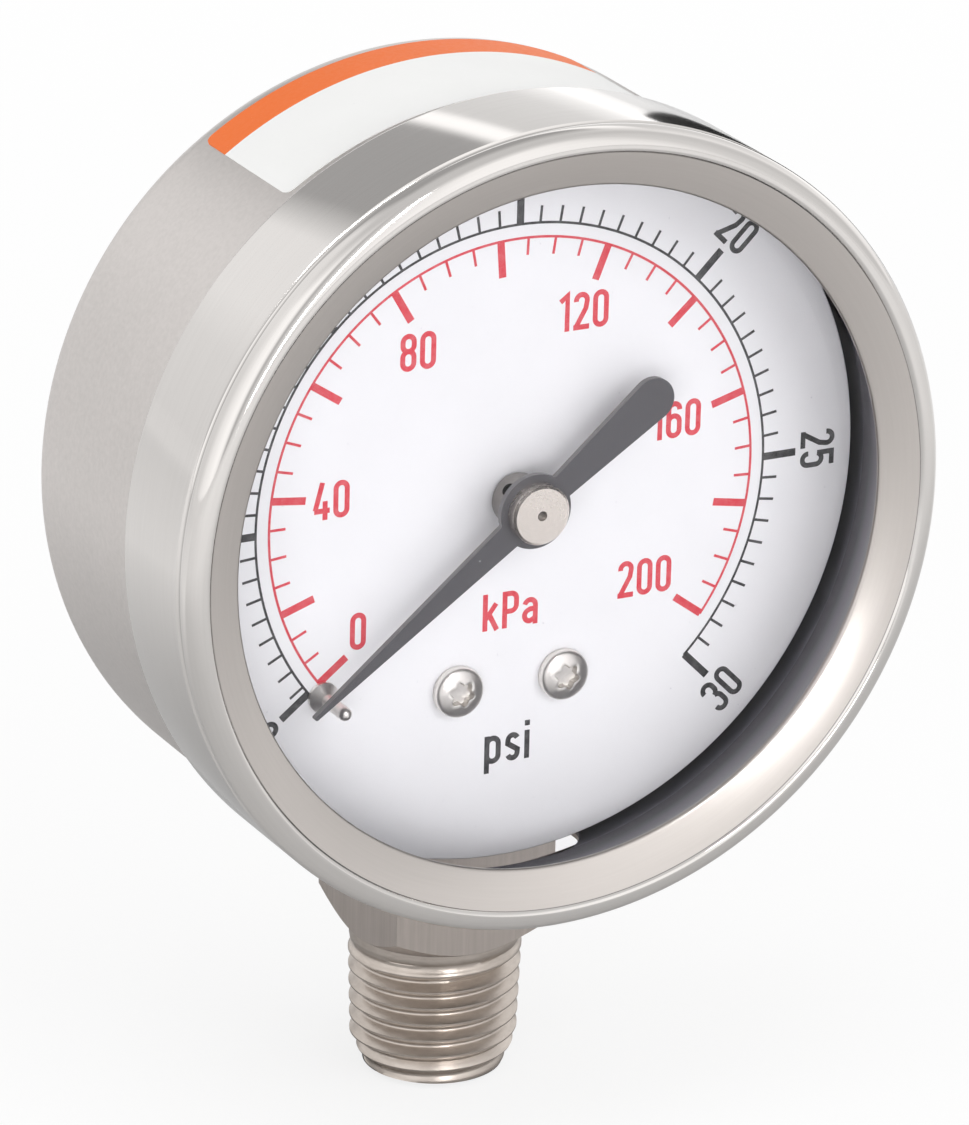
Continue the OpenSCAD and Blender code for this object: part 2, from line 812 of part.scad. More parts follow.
module case_screws() {
    color("lightgray")
        dial_frame()
            for (p = case_screws_at)
                translate([p[0], p[1], -case_depth - press_gap])
                    rotate([180, 0, 0])
                        difference() {
                            union() {
                                cylinder(d = case_screw_head_d, h = case_screw_head_h);
                                translate([0, 0, -case_screw_len])
                                    cylinder(d = case_screw_d, h = case_screw_len + eps);
                            }
                            translate([0, 0, case_screw_head_h - recess_depth])
                                lobed_recess();
                        }
}

module relief_plug() {
    neck_r = plug_neck_d / 2 - press_gap;
    flange_r = plug_neck_d / 2 + plug_lap;
    color("darkslategray")
        dial_frame()
            translate([0, plug_rise, -case_depth])
                rotate_extrude()
                    polygon([
                        [0, -plug_flange_t],
                        [flange_r - plug_flange_t / 2, -plug_flange_t],
                        [flange_r, -plug_flange_t / 2],
                        [flange_r, -press_gap],
                        [neck_r, -press_gap],
                        [neck_r, case_wall + press_gap],
                        [flange_r - plug_flange_t / 3, case_wall + press_gap],
                        [neck_r - plug_flange_t, case_wall + plug_flange_t],
                        [0, case_wall + plug_flange_t]
                    ]);
}

// Tube and link

module bourdon_tube() {
    color("goldenrod")
        dial_frame()
            translate([0, 0, -tube_back])
                rotate(tube_end_angle)
                    rotate_extrude(angle = tube_root_angle - tube_end_angle)
                        difference() {
                            tube_section();
                            tube_section(-tube_wall);
                        }
}

module tube_tip() {
    w = tube_t + 2 * tip_rim;
    front_back = tip_tongue_back;
    depth = tube_back + tube_depth / 2 + tip_rim - front_back;
    foot = polar(tube_r, tube_end_angle) + polar(tip_t / 2 + slide_gap, tube_end_angle - 90);
    color("khaki")
        dial_frame() {
            rotate(tube_end_angle)
                translate([tube_r - w / 2, -tip_t - slide_gap, -front_back - depth])
                    cube([w, tip_t, depth]);
            difference() {
                translate([0, 0, -tip_tongue_back - tip_tongue_t])
                    linear_extrude(tip_tongue_t)
                        bar_2d(tip_at, foot, eye_d / 2, tip_t / 2);
                pins([tip_at], -tip_tongue_back - tip_tongue_t - cut, 0, link_pin_d + 2 * press_gap);
            }
        }
}

module tip_pin() {
    color("lightgray")
        dial_frame() {
            pins([tip_at], -tip_tongue_back - tip_tongue_t, layer_gap - link_back, link_pin_d);
            translate([0, 0, layer_gap - link_back])
                pins([tip_at], -eps, link_pin_head_h, link_pin_head_d + 2 * open_pivot_gap);
        }
}

module link_bar() {
    color("gold")
        dial_frame()
            difference() {
                translate([0, 0, -link_back - link_t])
                    linear_extrude(link_t) {
                        bar_2d(tail_at, tip_at, link_waist_w / 2, link_waist_w / 2);
                        translate(tail_at)
                            circle(d = eye_d);
                        translate(tip_at)
                            circle(d = eye_d + open_pivot_gap);
                    }
                pins([tail_at], -link_back - link_t - cut, 0, link_pin_d + 2 * run_gap);
                pins([tip_at], -link_back - link_t - cut, 0, link_pin_d + 2 * open_pivot_gap);
            }
}

module tail_pin() {
    color("lightgray")
        dial_frame() {
            pins([tail_at], -tip_tongue_back, -sector_back, link_pin_d);
            pins([tail_at], -tip_tongue_back - link_pin_head_h, eps - tip_tongue_back, link_pin_head_d);
        }
}

// Gear train

module sector_2d() {
    first = mesh_angle + sector_pitch_angle * 1.5;
    last = first - sector_pitch_angle * (sector_teeth - 1);
    low = last - sector_pitch_angle;
    high = first + sector_pitch_angle;
    rim_r = sector_root_r - sector_rim / 2;
    translate(pivot) {
        for (i = [0:sector_teeth - 1])
            rotate(first - sector_pitch_angle * i)
                polygon(tooth_points(sector_r, sector_root_r, sector_head_r));
        intersection() {
            difference() {
                circle(sector_root_r);
                circle(sector_root_r - sector_rim);
            }
            polygon([
                [0, 0],
                polar(2 * sector_r, low),
                polar(2 * sector_r, (low + high) / 2),
                polar(2 * sector_r, high)
            ]);
        }
        circle(d = sector_hub_d);
        bar_2d([0, 0], polar(rim_r, low + 3), sector_spoke_w * 0.7, sector_spoke_w / 2);
        bar_2d([0, 0], polar(rim_r, high - 3), sector_spoke_w * 0.7, sector_spoke_w / 2);
        bar_2d([0, 0], tail_at - pivot, sector_hub_d / 2, eye_d / 2);
    }
}

module sector_gear() {
    color("gold")
        dial_frame()
            difference() {
                translate([0, 0, -sector_back - sector_t])
                    linear_extrude(sector_t)
                        sector_2d();
                pins([pivot], -sector_back - sector_t - cut, 0, arbor_d + 2 * press_gap);
                pins([tail_at], -sector_back - sector_t - cut, 0, link_pin_d + 2 * press_gap);
            }
}

module sector_arbor() {
    color("lightgray")
        dial_frame() {
            pins([pivot], end_shake - rear_plate_back, shoulder_h, arbor_d);
            pins([pivot], end_shake - tongue_back, -front_plate_back - end_shake, pivot_d);
        }
}

module pinion_arbor() {
    teeth_at = -sector_back - sector_t / 2 - pinion_len / 2;
    color("lightgray")
        dial_frame() {
            translate([0, 0, teeth_at])
                linear_extrude(pinion_len) {
                    circle(pinion_root_r);
                    for (i = [0:pinion_teeth - 1])
                        rotate(pivot_angle + i * 360 / pinion_teeth)
                            polygon(tooth_points(pinion_r, pinion_root_r, pinion_head_r));
                }
            pins([[0, 0]], end_shake - rear_plate_back, shoulder_h, arbor_d);
            pins([[0, 0]], end_shake - tongue_back, end_shake - rear_plate_back, pivot_d);
            pins([[0, 0]], shoulder_h, hub_back_h, shaft_d);
            pins([[0, 0]], hub_back_h, pointer_h + cap_t / 2, shaft_end_d);
        }
}

// Plates

module plate_2d() {
    corners = [pillars_at[2], pivot, pillars_at[1], pillars_at[0]];
    count = len(corners);
    polygon([
        for (i = [0:count - 1])
            let (here = corners[i])
            let (before = corners[(i + count - 1) % count])
            let (after = corners[(i + 1) % count])
            each [here + edge_out(before, here), here + edge_out(here, after)]
    ]);
    for (c = corners)
        translate(c)
            circle(plate_corner_r);
}

// Step of one corner radius out of the plate, square to the edge from p to q
function edge_out(p, q) =
    let (d = (q - p) / norm(q - p))
    plate_corner_r * [d[1], -d[0]];

module front_plate() {
    color("burlywood")
        dial_frame()
            difference() {
                translate([0, 0, -front_plate_back - front_plate_t])
                    linear_extrude(front_plate_t)
                        plate_2d();
                pins([[0, 0]], -front_plate_back - front_plate_t - cut, 0, shaft_d + 2 * run_gap);
                pins([pivot], -front_plate_back - front_plate_t - cut, 0, pivot_d + 2 * run_gap);
                pins(pillars_at, -front_plate_back - front_plate_t - cut, 0, tenon_d + 2 * press_gap);
            }
}

module rear_plate() {
    stud_at = [spring_out_r, 0];
    color("burlywood")
        dial_frame()
            difference() {
                translate([0, 0, -rear_plate_back - rear_plate_t + slide_gap])
                    linear_extrude(rear_plate_t - slide_gap)
                        plate_2d();
                pins([[0, 0], pivot], -tongue_back - cut, 0, pivot_d + 2 * run_gap);
                pins(pillars_at, -tongue_back - cut, 0, tenon_d + 2 * press_gap);
                pins(move_screws_at, -tongue_back - cut, 0, move_screw_d + 2 * slide_gap);
                pins([stud_at], -tongue_back - cut, 0, stud_d + 2 * press_gap);
            }
}

module pillars() {
    hole_depth = plate_screw_len + drill_extra;
    color("burlywood")
        dial_frame()
            difference() {
                union() {
                    pins(
                        pillars_at,
                        press_gap - rear_plate_back,
                        -front_plate_back - front_plate_t - press_gap,
                        pillar_d
                    );
                    pins(pillars_at, end_shake - tongue_back, -front_plate_back - press_gap, tenon_d);
                }
                pins(pillars_at, -front_plate_back - hole_depth, 0, plate_screw_d + 2 * press_gap);
            }
}

// Slotted cheese-head screw pointing away from +Z, its head standing on Z = 0
module slotted_screw(head_d, head_h, d, len) {
    difference() {
        union() {
            cylinder(d = head_d, h = head_h);
            translate([0, 0, -len])
                cylinder(d = d, h = len + eps);
        }
        translate([-head_d, -screw_slot_w / 2, head_h - screw_slot_depth])
            cube([2 * head_d, screw_slot_w, screw_slot_depth + cut]);
    }
}

module plate_screws() {
    color("lightgray")
        dial_frame()
            for (p = pillars_at)
                translate([p[0], p[1], press_gap - front_plate_back])
                    slotted_screw(plate_screw_head_d, plate_screw_head_h, plate_screw_d, plate_screw_len);
}

module movement_screws() {
    color("lightgray")
        dial_frame()
            for (p = move_screws_at)
                translate([p[0], p[1], press_gap - rear_plate_back])
                    rotate(35)
                        slotted_screw(move_screw_head_d, move_screw_head_h, move_screw_d, move_screw_len);
}

// Hairspring, one flat strip wound by formula

module hairspring() {
    steps = 30 * spring_turns;
    inner = [for (i = [0:steps]) spring_point(i / steps, -spring_t / 2)];
    outer = [for (i = [steps:-1:0]) spring_point(i / steps, spring_t / 2)];
    echo(spring_gap = spring_pitch - spring_t);
    color("peru")
        dial_frame()
            translate([0, 0, -spring_back - spring_w])
                linear_extrude(spring_w)
                    polygon(concat(inner, outer));
}

function spring_point(t, side) =
    polar(spring_in_r + spring_pitch * spring_turns * t + side, 360 * spring_turns * (t - 1));

module hairspring_collet() {
    color("gold")
        dial_frame()
            difference() {
                pins([[0, 0]], -spring_back - spring_w - slide_gap, slide_gap - spring_back, collet_d);
                pins([[0, 0]], -spring_back - spring_w - cut, cut - spring_back, arbor_d + 2 * press_gap);
            }
}

module hairspring_stud() {
    color("gold")
        dial_frame()
            difference() {
                pins([[spring_out_r, 0]], end_shake - tongue_back, end_shake - spring_back, stud_d);
                translate([spring_out_r - stud_d, -stud_d, -spring_back - spring_w - press_gap])
                    spring_slit();
            }
}

// Slit in the stud that grips the outer end of the strip
module spring_slit() {
    translate([stud_d - spring_t / 2 - press_gap, 0, 0])
        cube([spring_t + 2 * press_gap, stud_d + press_gap, spring_w + cut]);
}

// Pointer, drawn along +X and turned to its rest direction

module pointer_2d() {
    tip_r = pointer_tip_w / 2;
    tail_r = pointer_tail_w / 2;
    bar_2d([0, 0], [pointer_len - tip_r, 0], pointer_root_w / 2, tip_r);
    bar_2d([0, 0], [tail_r - pointer_tail_len, 0], pointer_tail_root_w / 2, tail_r);
    circle(d = pointer_ring_d);
}

module pointer_blade() {
    color("dimgray")
        dial_frame()
            rotate(pointer_rest)
                difference() {
                    translate([0, 0, pointer_h - pointer_t])
                        linear_extrude(pointer_t)
                            pointer_2d();
                    pins([[0, 0]], 0, pointer_h + cut, hub_neck_d + 2 * press_gap);
                }
}

module pointer_hub() {
    color("lightgray")
        dial_frame()
            rotate(pointer_rest - hub_cross_turn)
                difference() {
                    union() {
                        pins([[0, 0]], hub_back_h, pointer_h - pointer_t - press_gap, hub_d);
                        pins([[0, 0]], hub_back_h, pointer_h, hub_neck_d);
                    }
                    pins([[0, 0]], 0, pointer_h + cut, shaft_end_d + 2 * press_gap);
                    translate([-hub_d, 0, hub_cross_h])
                        rotate([0, 90, 0])
                            cylinder(d = hub_cross_d, h = 2 * hub_d);
                }
}

module pointer_cap() {
    r = cap_d / 2;
    hole_r = cap_hole_d / 2;
    bore_r = shaft_end_d / 2 + press_gap;
    color("lightgray")
        dial_frame()
            translate([0, 0, pointer_h + press_gap])
                rotate_extrude()
                    polygon([
                        [bore_r, 0],
                        [r, 0],
                        [r, cap_t - cap_bevel],
                        [r - cap_bevel, cap_t],
                        [hole_r, cap_t],
                        [hole_r, cap_t / 2 + press_gap],
                        [bore_r, cap_t / 2 + press_gap]
                    ]);
}

case_shell();
bezel_ring();
window();
window_gasket();
dial_plate();
dial_screws();
dial_posts();
stop_pin();
socket();
case_screws();
relief_plug();
bourdon_tube();
tube_tip();
tip_pin();
link_bar();
tail_pin();
sector_gear();
sector_arbor();
front_plate();
rear_plate();
pillars();
plate_screws();
movement_screws();
pinion_arbor();
hairspring();
hairspring_collet();
hairspring_stud();
pointer_blade();
pointer_hub();
pointer_cap();
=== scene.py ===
"""Looks of the dial pressure gauge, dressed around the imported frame. Metres, +Z up, the dial faces -Y."""
import math

import bmesh
import bpy
from mathutils import Matrix, Vector


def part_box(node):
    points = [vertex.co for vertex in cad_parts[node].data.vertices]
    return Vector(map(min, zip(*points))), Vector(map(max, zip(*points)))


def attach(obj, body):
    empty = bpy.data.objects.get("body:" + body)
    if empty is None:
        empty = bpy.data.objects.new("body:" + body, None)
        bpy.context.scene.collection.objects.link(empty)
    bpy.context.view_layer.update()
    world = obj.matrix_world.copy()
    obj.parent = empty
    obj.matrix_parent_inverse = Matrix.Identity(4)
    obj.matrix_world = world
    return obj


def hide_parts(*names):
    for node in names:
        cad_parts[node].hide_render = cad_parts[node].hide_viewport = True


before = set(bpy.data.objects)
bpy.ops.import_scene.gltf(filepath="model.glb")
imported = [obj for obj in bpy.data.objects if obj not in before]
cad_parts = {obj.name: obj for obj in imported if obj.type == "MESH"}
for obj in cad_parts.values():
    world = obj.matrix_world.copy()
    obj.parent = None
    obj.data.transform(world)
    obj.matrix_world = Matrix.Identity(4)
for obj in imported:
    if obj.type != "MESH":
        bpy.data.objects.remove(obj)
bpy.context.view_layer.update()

# Driving sizes in millimetres, radii round the dial axis and heights in front of the dial face
MM = 0.001
AXIS_Z = sum(corner.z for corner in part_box("bezel_ring")) / 2
DIAL_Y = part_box("dial_plate")[0].y
ROUND = 288

CASE_R, CASE_WALL, CASE_DEPTH, CASE_CORNER, CASE_RIM = 31.55, 0.8, 20.8, 3.0, 4.9
# Depth behind the dial down to which the case's inside gets painted shade
INSIDE_DEPTH = 17.0
OPENING_X, OPENING_FRONT, OPENING_BACK, OPENING_TOP, OPENING_ROUND = 7.4, 0.9, -19.1, -24.6, 3.0
BEZEL_IN, BEZEL_WALL, BEZEL_BACK = 31.6, 0.8, 1.5
BEAD_R, BEAD_TOP, BEAD_EDGE = 1.5, 10.2, 0.4
GROOVE_R, GROOVE_H = 0.3, 8.15
LIP_R, LIP_WALL, LIP_H, SEAM_R, SEAM_H = 27.55, 0.75, 8.75, 30.5, 9.92
GASKET_R, GASKET_BACK, GASKET_SEAT, GASKET_TOP = 30.2, 1.6, 5.5, 7.9
WINDOW_R, WINDOW_T, WINDOW_H, WINDOW_EDGE = 31.0, 2.35, 5.525, 0.2
DIAL_R, DIAL_T, DIAL_HOLE = 30.0, 0.8, 1.5
FIT = 0.05

# Stem and its right-hand taper pipe thread
PITCH, THREAD_DEPTH, THREAD_PHASE = 25.4 / 18, 0.74, 0.31
THREAD_R, THREAD_TOP_R, THREAD_LEN = 6.65, 7.0, 10.6
COLLAR_R, COLLAR_TOP = 6.9, 11.55
CHAMFER, CHAMFER_H, PORT_R = 1.0, 2.4, 3.0

# Screws, with a place and a size each. Place: distance from the middle, height above the dial axis, seat.
# Size: head radius, head height, height of the head's edge, shank radius, shank length.
DIAL_SCREW_AT, DIAL_SCREW = (4.6, -15.35, 0.02), (2.05, 1.3, 0.75, 1.1, 3.6)
CASE_SCREW_AT, CASE_SCREW = (4.0, -24.5, -CASE_DEPTH - 0.02), (2.4, 1.5, 0.95, 1.4, 6.0)
LOBE_R, LOBE_WAVE, RECESS_DEPTH = 0.95, 0.15, 0.7

# Relief plug in the case back
PLUG_UP, PLUG_R, PLUG_NECK_R, PLUG_T, PLUG_DISH_R, PLUG_DISH = 16.0, 5.6, 4.48, 0.9, 3.2, 0.35

# Dial print
INK = 0.015
SCALE_SPAN, SCALE_MAX = 270, 30
SCALE_START = 225
KPA_PER_PSI = 6.894757
BLACK_ARC, BLACK_MINOR, BLACK_MAJOR, BLACK_NUMBERS = 22.05, 23.41, 24.97, 26.95
RED_ARC, RED_MINOR, RED_MAJOR = 20.92, 19.53, 18.0
RED_NUMBERS = {
    0: (-13.2, -9.1), 40: (-15.65, 2.0), 80: (-8.5, 13.0),
    120: (5.7, 14.35), 160: (14.15, 4.25), 200: (11.8, -8.45),
}
ZERO_TICK = 218
HAIRLINE, MINOR_W, MAJOR_W = 0.2, 0.215, 0.62
DIGIT_H = 3.05
PSI_AT, PSI_H = (0.0, -20.5), DIGIT_H * 1.05
KPA_AT = (0.0, -9.35)

# Sticker on the case: directions of its two ends, then its rear edge, colour joint, front edge and corners
STICKER_FROM, STICKER_TO = 125.3, 64
STICKER_REAR, STICKER_JOINT, STICKER_FRONT, STICKER_CORNER = -17.7, -14.0, -3.2, 0.8

# Floor, in metres
FLOOR_R, FLOOR_GAP = 6.0, 0.0004


def dial_point(x, up, height):
    """A point in the dial's own frame, as a place in the row frame."""
    return Vector((x * MM, DIAL_Y - height * MM, AXIS_Z + up * MM))


def polar(radius, degrees):
    a = math.radians(degrees)
    return radius * math.cos(a), radius * math.sin(a)


def arc(cx, cy, radius, start, end, steps=10):
    """Points on an arc from start to end degrees."""
    turns = [start + (end - start) * i / steps for i in range(steps + 1)]
    return [(cx + polar(radius, t)[0], cy + polar(radius, t)[1]) for t in turns]


# Mesh helpers


def place_mesh(name, bm):
    """Turns a bmesh into an object of the scene."""
    mesh = bpy.data.meshes.new(name)
    bm.to_mesh(mesh)
    bm.free()
    piece = bpy.data.objects.new(name, mesh)
    bpy.context.scene.collection.objects.link(piece)
    return piece


def finish_mesh(name, bm, material, body="gauge_body", replaces=(), sharp=30):
    """Turns a bmesh into a shaded piece that rides on a body."""
    bmesh.ops.remove_doubles(bm, verts=bm.verts, dist=2e-8)
    bmesh.ops.recalc_face_normals(bm, faces=bm.faces)
    piece = place_mesh(name, bm)
    piece.data.shade_smooth()
    piece.data.set_sharp_from_angle(angle=math.radians(sharp))
    piece.data.materials.append(material)
    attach(piece, body)
    if replaces:
        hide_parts(*replaces)
    return piece


def revolve(profile, segments=ROUND, above=0):
    """Closed solid from a closed (radius, height) outline, turned round the dial axis or a line above it."""
    bm = bmesh.new()
    rings = []
    for k in range(segments):
        turn = 360 * k / segments
        cos, sin = polar(1, turn)
        rings.append([bm.verts.new(dial_point(r * cos, above + r * sin, h)) for r, h in profile])
    count = len(profile)
    for k in range(segments):
        here, there = rings[k], rings[(k + 1) % segments]
        for i in range(count):
            j = (i + 1) % count
            if profile[i][0] == 0 and profile[j][0] == 0:
                continue
            bm.faces.new((here[i], here[j], there[j], there[i]))
    return bm


# Material helpers


class Nodes:
    """Short names for the shader nodes that the materials share."""

    def __init__(self, name):
        self.material = bpy.data.materials.new(name)
        self.material.use_nodes = True
        self.tree = self.material.node_tree
        self.bsdf = self.tree.nodes["Principled BSDF"]

    def add(self, kind, **settings):
        node = self.tree.nodes.new(kind)
        for key, value in settings.items():
            setattr(node, key, value)
        return node

    def link(self, source, target):
        self.tree.links.new(source, target)

    def place(self):
        return self.add("ShaderNodeTexCoord").outputs["Object"]

    def math(self, operation, a, b=None):
        node = self.add("ShaderNodeMath", operation=operation)
        for socket, value in zip(node.inputs, (a, b)):
            if value is None:
                continue
            if isinstance(value, (int, float)):
                socket.default_value = value
            else:
                self.link(value, socket)
        return node.outputs[0]

    def stretch(self, vector, scale):
        node = self.add("ShaderNodeMapping")
        node.inputs["Scale"].default_value = scale
        self.link(vector, node.inputs["Vector"])
        return node.outputs[0]

    def noise(self, vector, scale, detail=4.0, roughness=0.55):
        node = self.add("ShaderNodeTexNoise")
        node.inputs["Scale"].default_value = scale
        node.inputs["Detail"].default_value = detail
        node.inputs["Roughness"].default_value = roughness
        self.link(vector, node.inputs["Vector"])
        return node.outputs["Fac"]

    def ramp(self, factor, *stops):
        node = self.add("ShaderNodeValToRGB")
        ramp = node.color_ramp
        while len(ramp.elements) < len(stops):
            ramp.elements.new(1.0)
        for element, (at, value) in zip(ramp.elements, stops):
            element.position = at
            element.color = (*value, 1) if isinstance(value, tuple) else (value, value, value, 1)
        self.link(factor, node.inputs["Fac"])
        return node.outputs["Color"]

    def mix(self, factor, a, b, mode="MIX"):
        node = self.add("ShaderNodeMix", data_type="RGBA", blend_type=mode)
        for socket, value in zip((node.inputs["Factor"], node.inputs[6], node.inputs[7]), (factor, a, b)):
            if isinstance(value, tuple):
                socket.default_value = (*value, 1)
            elif isinstance(value, (int, float)):
                socket.default_value = value
            else:
                self.link(value, socket)
        return node.outputs[2]

    def bump(self, height, strength, distance):
        node = self.add("ShaderNodeBump")
        node.inputs["Strength"].default_value = strength
        node.inputs["Distance"].default_value = distance
        self.link(height, node.inputs["Height"])
        self.link(node.outputs["Normal"], self.bsdf.inputs["Normal"])

    def axis_parts(self):
        """Distance right of, in front of and above the dial axis."""
        split = self.add("ShaderNodeSeparateXYZ")
        self.link(self.place(), split.inputs[0])
        up = self.math("SUBTRACT", split.outputs["Z"], AXIS_Z)
        return split.outputs["X"], split.outputs["Y"], up

    def radius(self):
        """Distance from the dial axis."""
        x, _, up = self.axis_parts()
        return self.math("SQRT", self.math("ADD", self.math("MULTIPLY", x, x), self.math("MULTIPLY", up, up)))

    def turned(self):
        """Coordinates whose fine direction runs across lines turned round the dial axis."""
        x, y, up = self.axis_parts()
        join = self.add("ShaderNodeCombineXYZ")
        self.link(self.radius(), join.inputs["X"])
        self.link(y, join.inputs["Y"])
        self.link(self.math("MULTIPLY", self.math("ARCTAN2", x, up), 0.0006), join.inputs["Z"])
        return join.outputs[0]


def metal(
    name, tint, dark, rough, lines, line_depth, blotch=60, spread=0.05, inside=None, satin=None, creases=()
):
    """Metal with fine lines along one direction, cloudy patches and small scratches.

    lines is "turned" for lines round the dial axis, or a stretch along X, Y and Z. inside is a radius in
    millimetres under which the metal is dull and darkened with painted shade, down to INSIDE_DEPTH behind the
    dial, and satin is one under which it is rougher. creases are lines of painted shade round the dial axis:
    the half width of each, its radius, and its height above the dial where that places it instead.
    """
    n = Nodes(name)
    b = n.bsdf
    b.inputs["Metallic"].default_value = 1.0
    place = n.place()
    if lines == "turned":
        fine = n.noise(n.turned(), 5200, 3.0, 0.6)
    else:
        fine = n.noise(n.stretch(place, lines), 1.0, 3.0, 0.6)
    cloud = n.noise(place, blotch, 5.0, 0.6)
    grain = n.noise(place, 4200, 2.0, 0.5)
    shade = n.math("ADD", n.math("MULTIPLY", fine, 0.55), n.math("MULTIPLY", cloud, 0.45))
    colour = n.ramp(shade, (0.3, dark), (0.62, tint))
    wear = n.math("ADD", n.math("MULTIPLY", cloud, 0.6), n.math("MULTIPLY", fine, 0.4))
    polish = n.ramp(wear, (0.3, rough - spread), (0.7, rough + spread))
    # Painted shade: the case's inside, within the radius and down to INSIDE_DEPTH behind the dial, is
    # darkened and dulled
    if inside:
        within = n.math("LESS_THAN", n.radius(), inside * MM)
        ahead = n.math("LESS_THAN", n.axis_parts()[1], DIAL_Y + INSIDE_DEPTH * MM)
        within = n.math("MULTIPLY", within, ahead)
        colour = n.mix(within, colour, (0.28, 0.28, 0.31))
        polish = n.mix(within, polish, (0.6, 0.6, 0.6))
    if satin:
        within = n.math("LESS_THAN", n.radius(), satin * MM)
        polish = n.mix(within, polish, (0.28, 0.28, 0.28))
        colour = n.mix(within, colour, n.mix(1.0, colour, (0.82, 0.795, 0.78), "MULTIPLY"))
    # Painted shade in creases: a dark line round the dial axis at each crease
    for half, radius, height in creases:
        if height is None:
            off = n.math("SUBTRACT", n.radius(), radius * MM)
        else:
            off = n.math("SUBTRACT", n.math("SUBTRACT", DIAL_Y, n.axis_parts()[1]), height * MM)
        near = n.math("MULTIPLY", n.math("ABSOLUTE", off), 1 / (half * MM))
        colour = n.mix(n.ramp(near, (0.3, 0.55), (1.0, 0.0)), colour, (0.10, 0.095, 0.09))
    n.link(colour, b.inputs["Base Color"])
    n.link(polish, b.inputs["Roughness"])
    relief = n.math("ADD", n.math("MULTIPLY", fine, 0.8), n.math("MULTIPLY", grain, 0.2))
    n.bump(relief, 0.35, line_depth * MM)
    return n.material


def rubber(name, tint):
    n = Nodes(name)
    place = n.place()
    grain = n.noise(place, 3000, 3.0)
    cloud = n.noise(place, 180, 4.0)
    light = tuple(min(1.0, c * 1.35) for c in tint)
    n.link(n.ramp(cloud, (0.3, tint), (0.75, light)), n.bsdf.inputs["Base Color"])
    n.link(n.ramp(grain, (0.3, 0.5), (0.7, 0.72)), n.bsdf.inputs["Roughness"])
    n.bump(grain, 0.3, 0.02 * MM)
    return n.material


def gasket_rubber():
    """Grey rubber, with painted shade that darkens it toward its rear edge."""
    n = Nodes("gasket_grey")
    grain = n.noise(n.place(), 2600, 3.0)
    # Painted shade: darker toward the rear edge, by depth behind the dial
    depth = n.math("MULTIPLY", n.math("SUBTRACT", DIAL_Y, n.axis_parts()[1]), 1 / (GASKET_TOP * MM))
    depth = n.math("ADD", depth, n.math("MULTIPLY", grain, 0.03))
    grey = n.ramp(
        depth,
        (0.2, (0.05, 0.048, 0.056)), (0.34, (0.10, 0.098, 0.11)),
        (0.55, (0.34, 0.34, 0.36)), (0.75, (0.5, 0.5, 0.52)),
    )
    n.link(grey, n.bsdf.inputs["Base Color"])
    n.link(n.ramp(grain, (0.3, 0.5), (0.7, 0.66)), n.bsdf.inputs["Roughness"])
    n.bump(grain, 0.3, 0.02 * MM)
    return n.material


def paint(name, tint, speck, speck_share, rough, scale=2600, edge=None):
    """Matt lacquer with a fine orange peel and a few specks of dust or bare metal.

    edge is a colour for the faces that point sideways from the dial axis.
    """
    n = Nodes(name)
    place = n.place()
    cloud = n.noise(place, 45, 4.0)
    dust = n.noise(place, scale, 2.0, 0.7)
    soft = tuple(c * 0.94 for c in tint)
    base = n.ramp(cloud, (0.3, soft), (0.7, tint))
    if edge:
        split = n.add("ShaderNodeSeparateXYZ")
        n.link(n.add("ShaderNodeTexCoord").outputs["Normal"], split.inputs[0])
        facing = n.math("ABSOLUTE", split.outputs["Y"])
        base = n.mix(n.math("LESS_THAN", facing, 0.5), base, edge)
    spots = n.ramp(dust, (1 - speck_share, 0.0), (min(1.0, 1.03 - speck_share), 1.0))
    n.link(n.mix(spots, base, speck), n.bsdf.inputs["Base Color"])
    n.link(n.ramp(dust, (0.3, rough - 0.06), (0.7, rough + 0.06)), n.bsdf.inputs["Roughness"])
    n.bump(dust, 0.15, 0.01 * MM)
    return n.material


def ink(name, tint):
    """Screen-printed ink, slightly uneven."""
    n = Nodes(name)
    patch = n.noise(n.place(), 1500, 3.0, 0.6)
    pale = tuple(c + (1 - c) * 0.10 for c in tint)
    n.link(n.ramp(patch, (0.35, tint), (0.8, pale)), n.bsdf.inputs["Base Color"])
    n.link(n.ramp(patch, (0.3, 0.45), (0.7, 0.6)), n.bsdf.inputs["Roughness"])
    return n.material


def window_glass():
    """Clear window: see-through, with a faint reflection that grows at a slant."""
    n = Nodes("window_clear")
    tree = n.tree
    tree.nodes.remove(n.bsdf)
    out = tree.nodes["Material Output"]
    clear = n.add("ShaderNodeBsdfTransparent")
    clear.inputs["Color"].default_value = (0.985, 0.983, 0.99, 1)
    gloss = n.add("ShaderNodeBsdfGlossy")
    smear = n.noise(n.place(), 70, 4.0)
    n.link(n.ramp(smear, (0.35, 0.015), (0.75, 0.05)), gloss.inputs["Roughness"])
    rim = n.add("ShaderNodeFresnel")
    rim.inputs["IOR"].default_value = 1.3
    blend = n.add("ShaderNodeMixShader")
    n.link(rim.outputs[0], blend.inputs["Fac"])
    n.link(clear.outputs[0], blend.inputs[1])
    n.link(gloss.outputs[0], blend.inputs[2])
    n.link(blend.outputs[0], out.inputs["Surface"])
    return n.material


# Stretch of the fine lines on small turned steel pieces
FACED = (1500, 300, 1500)

# The case's inside carries painted shade
case_metal = metal(
    "case_satin", (0.66, 0.625, 0.605), (0.57, 0.54, 0.52), 0.38, (2400, 2400, 2400), 0.003, 45,
    inside=CASE_R - CASE_WALL / 2,
)
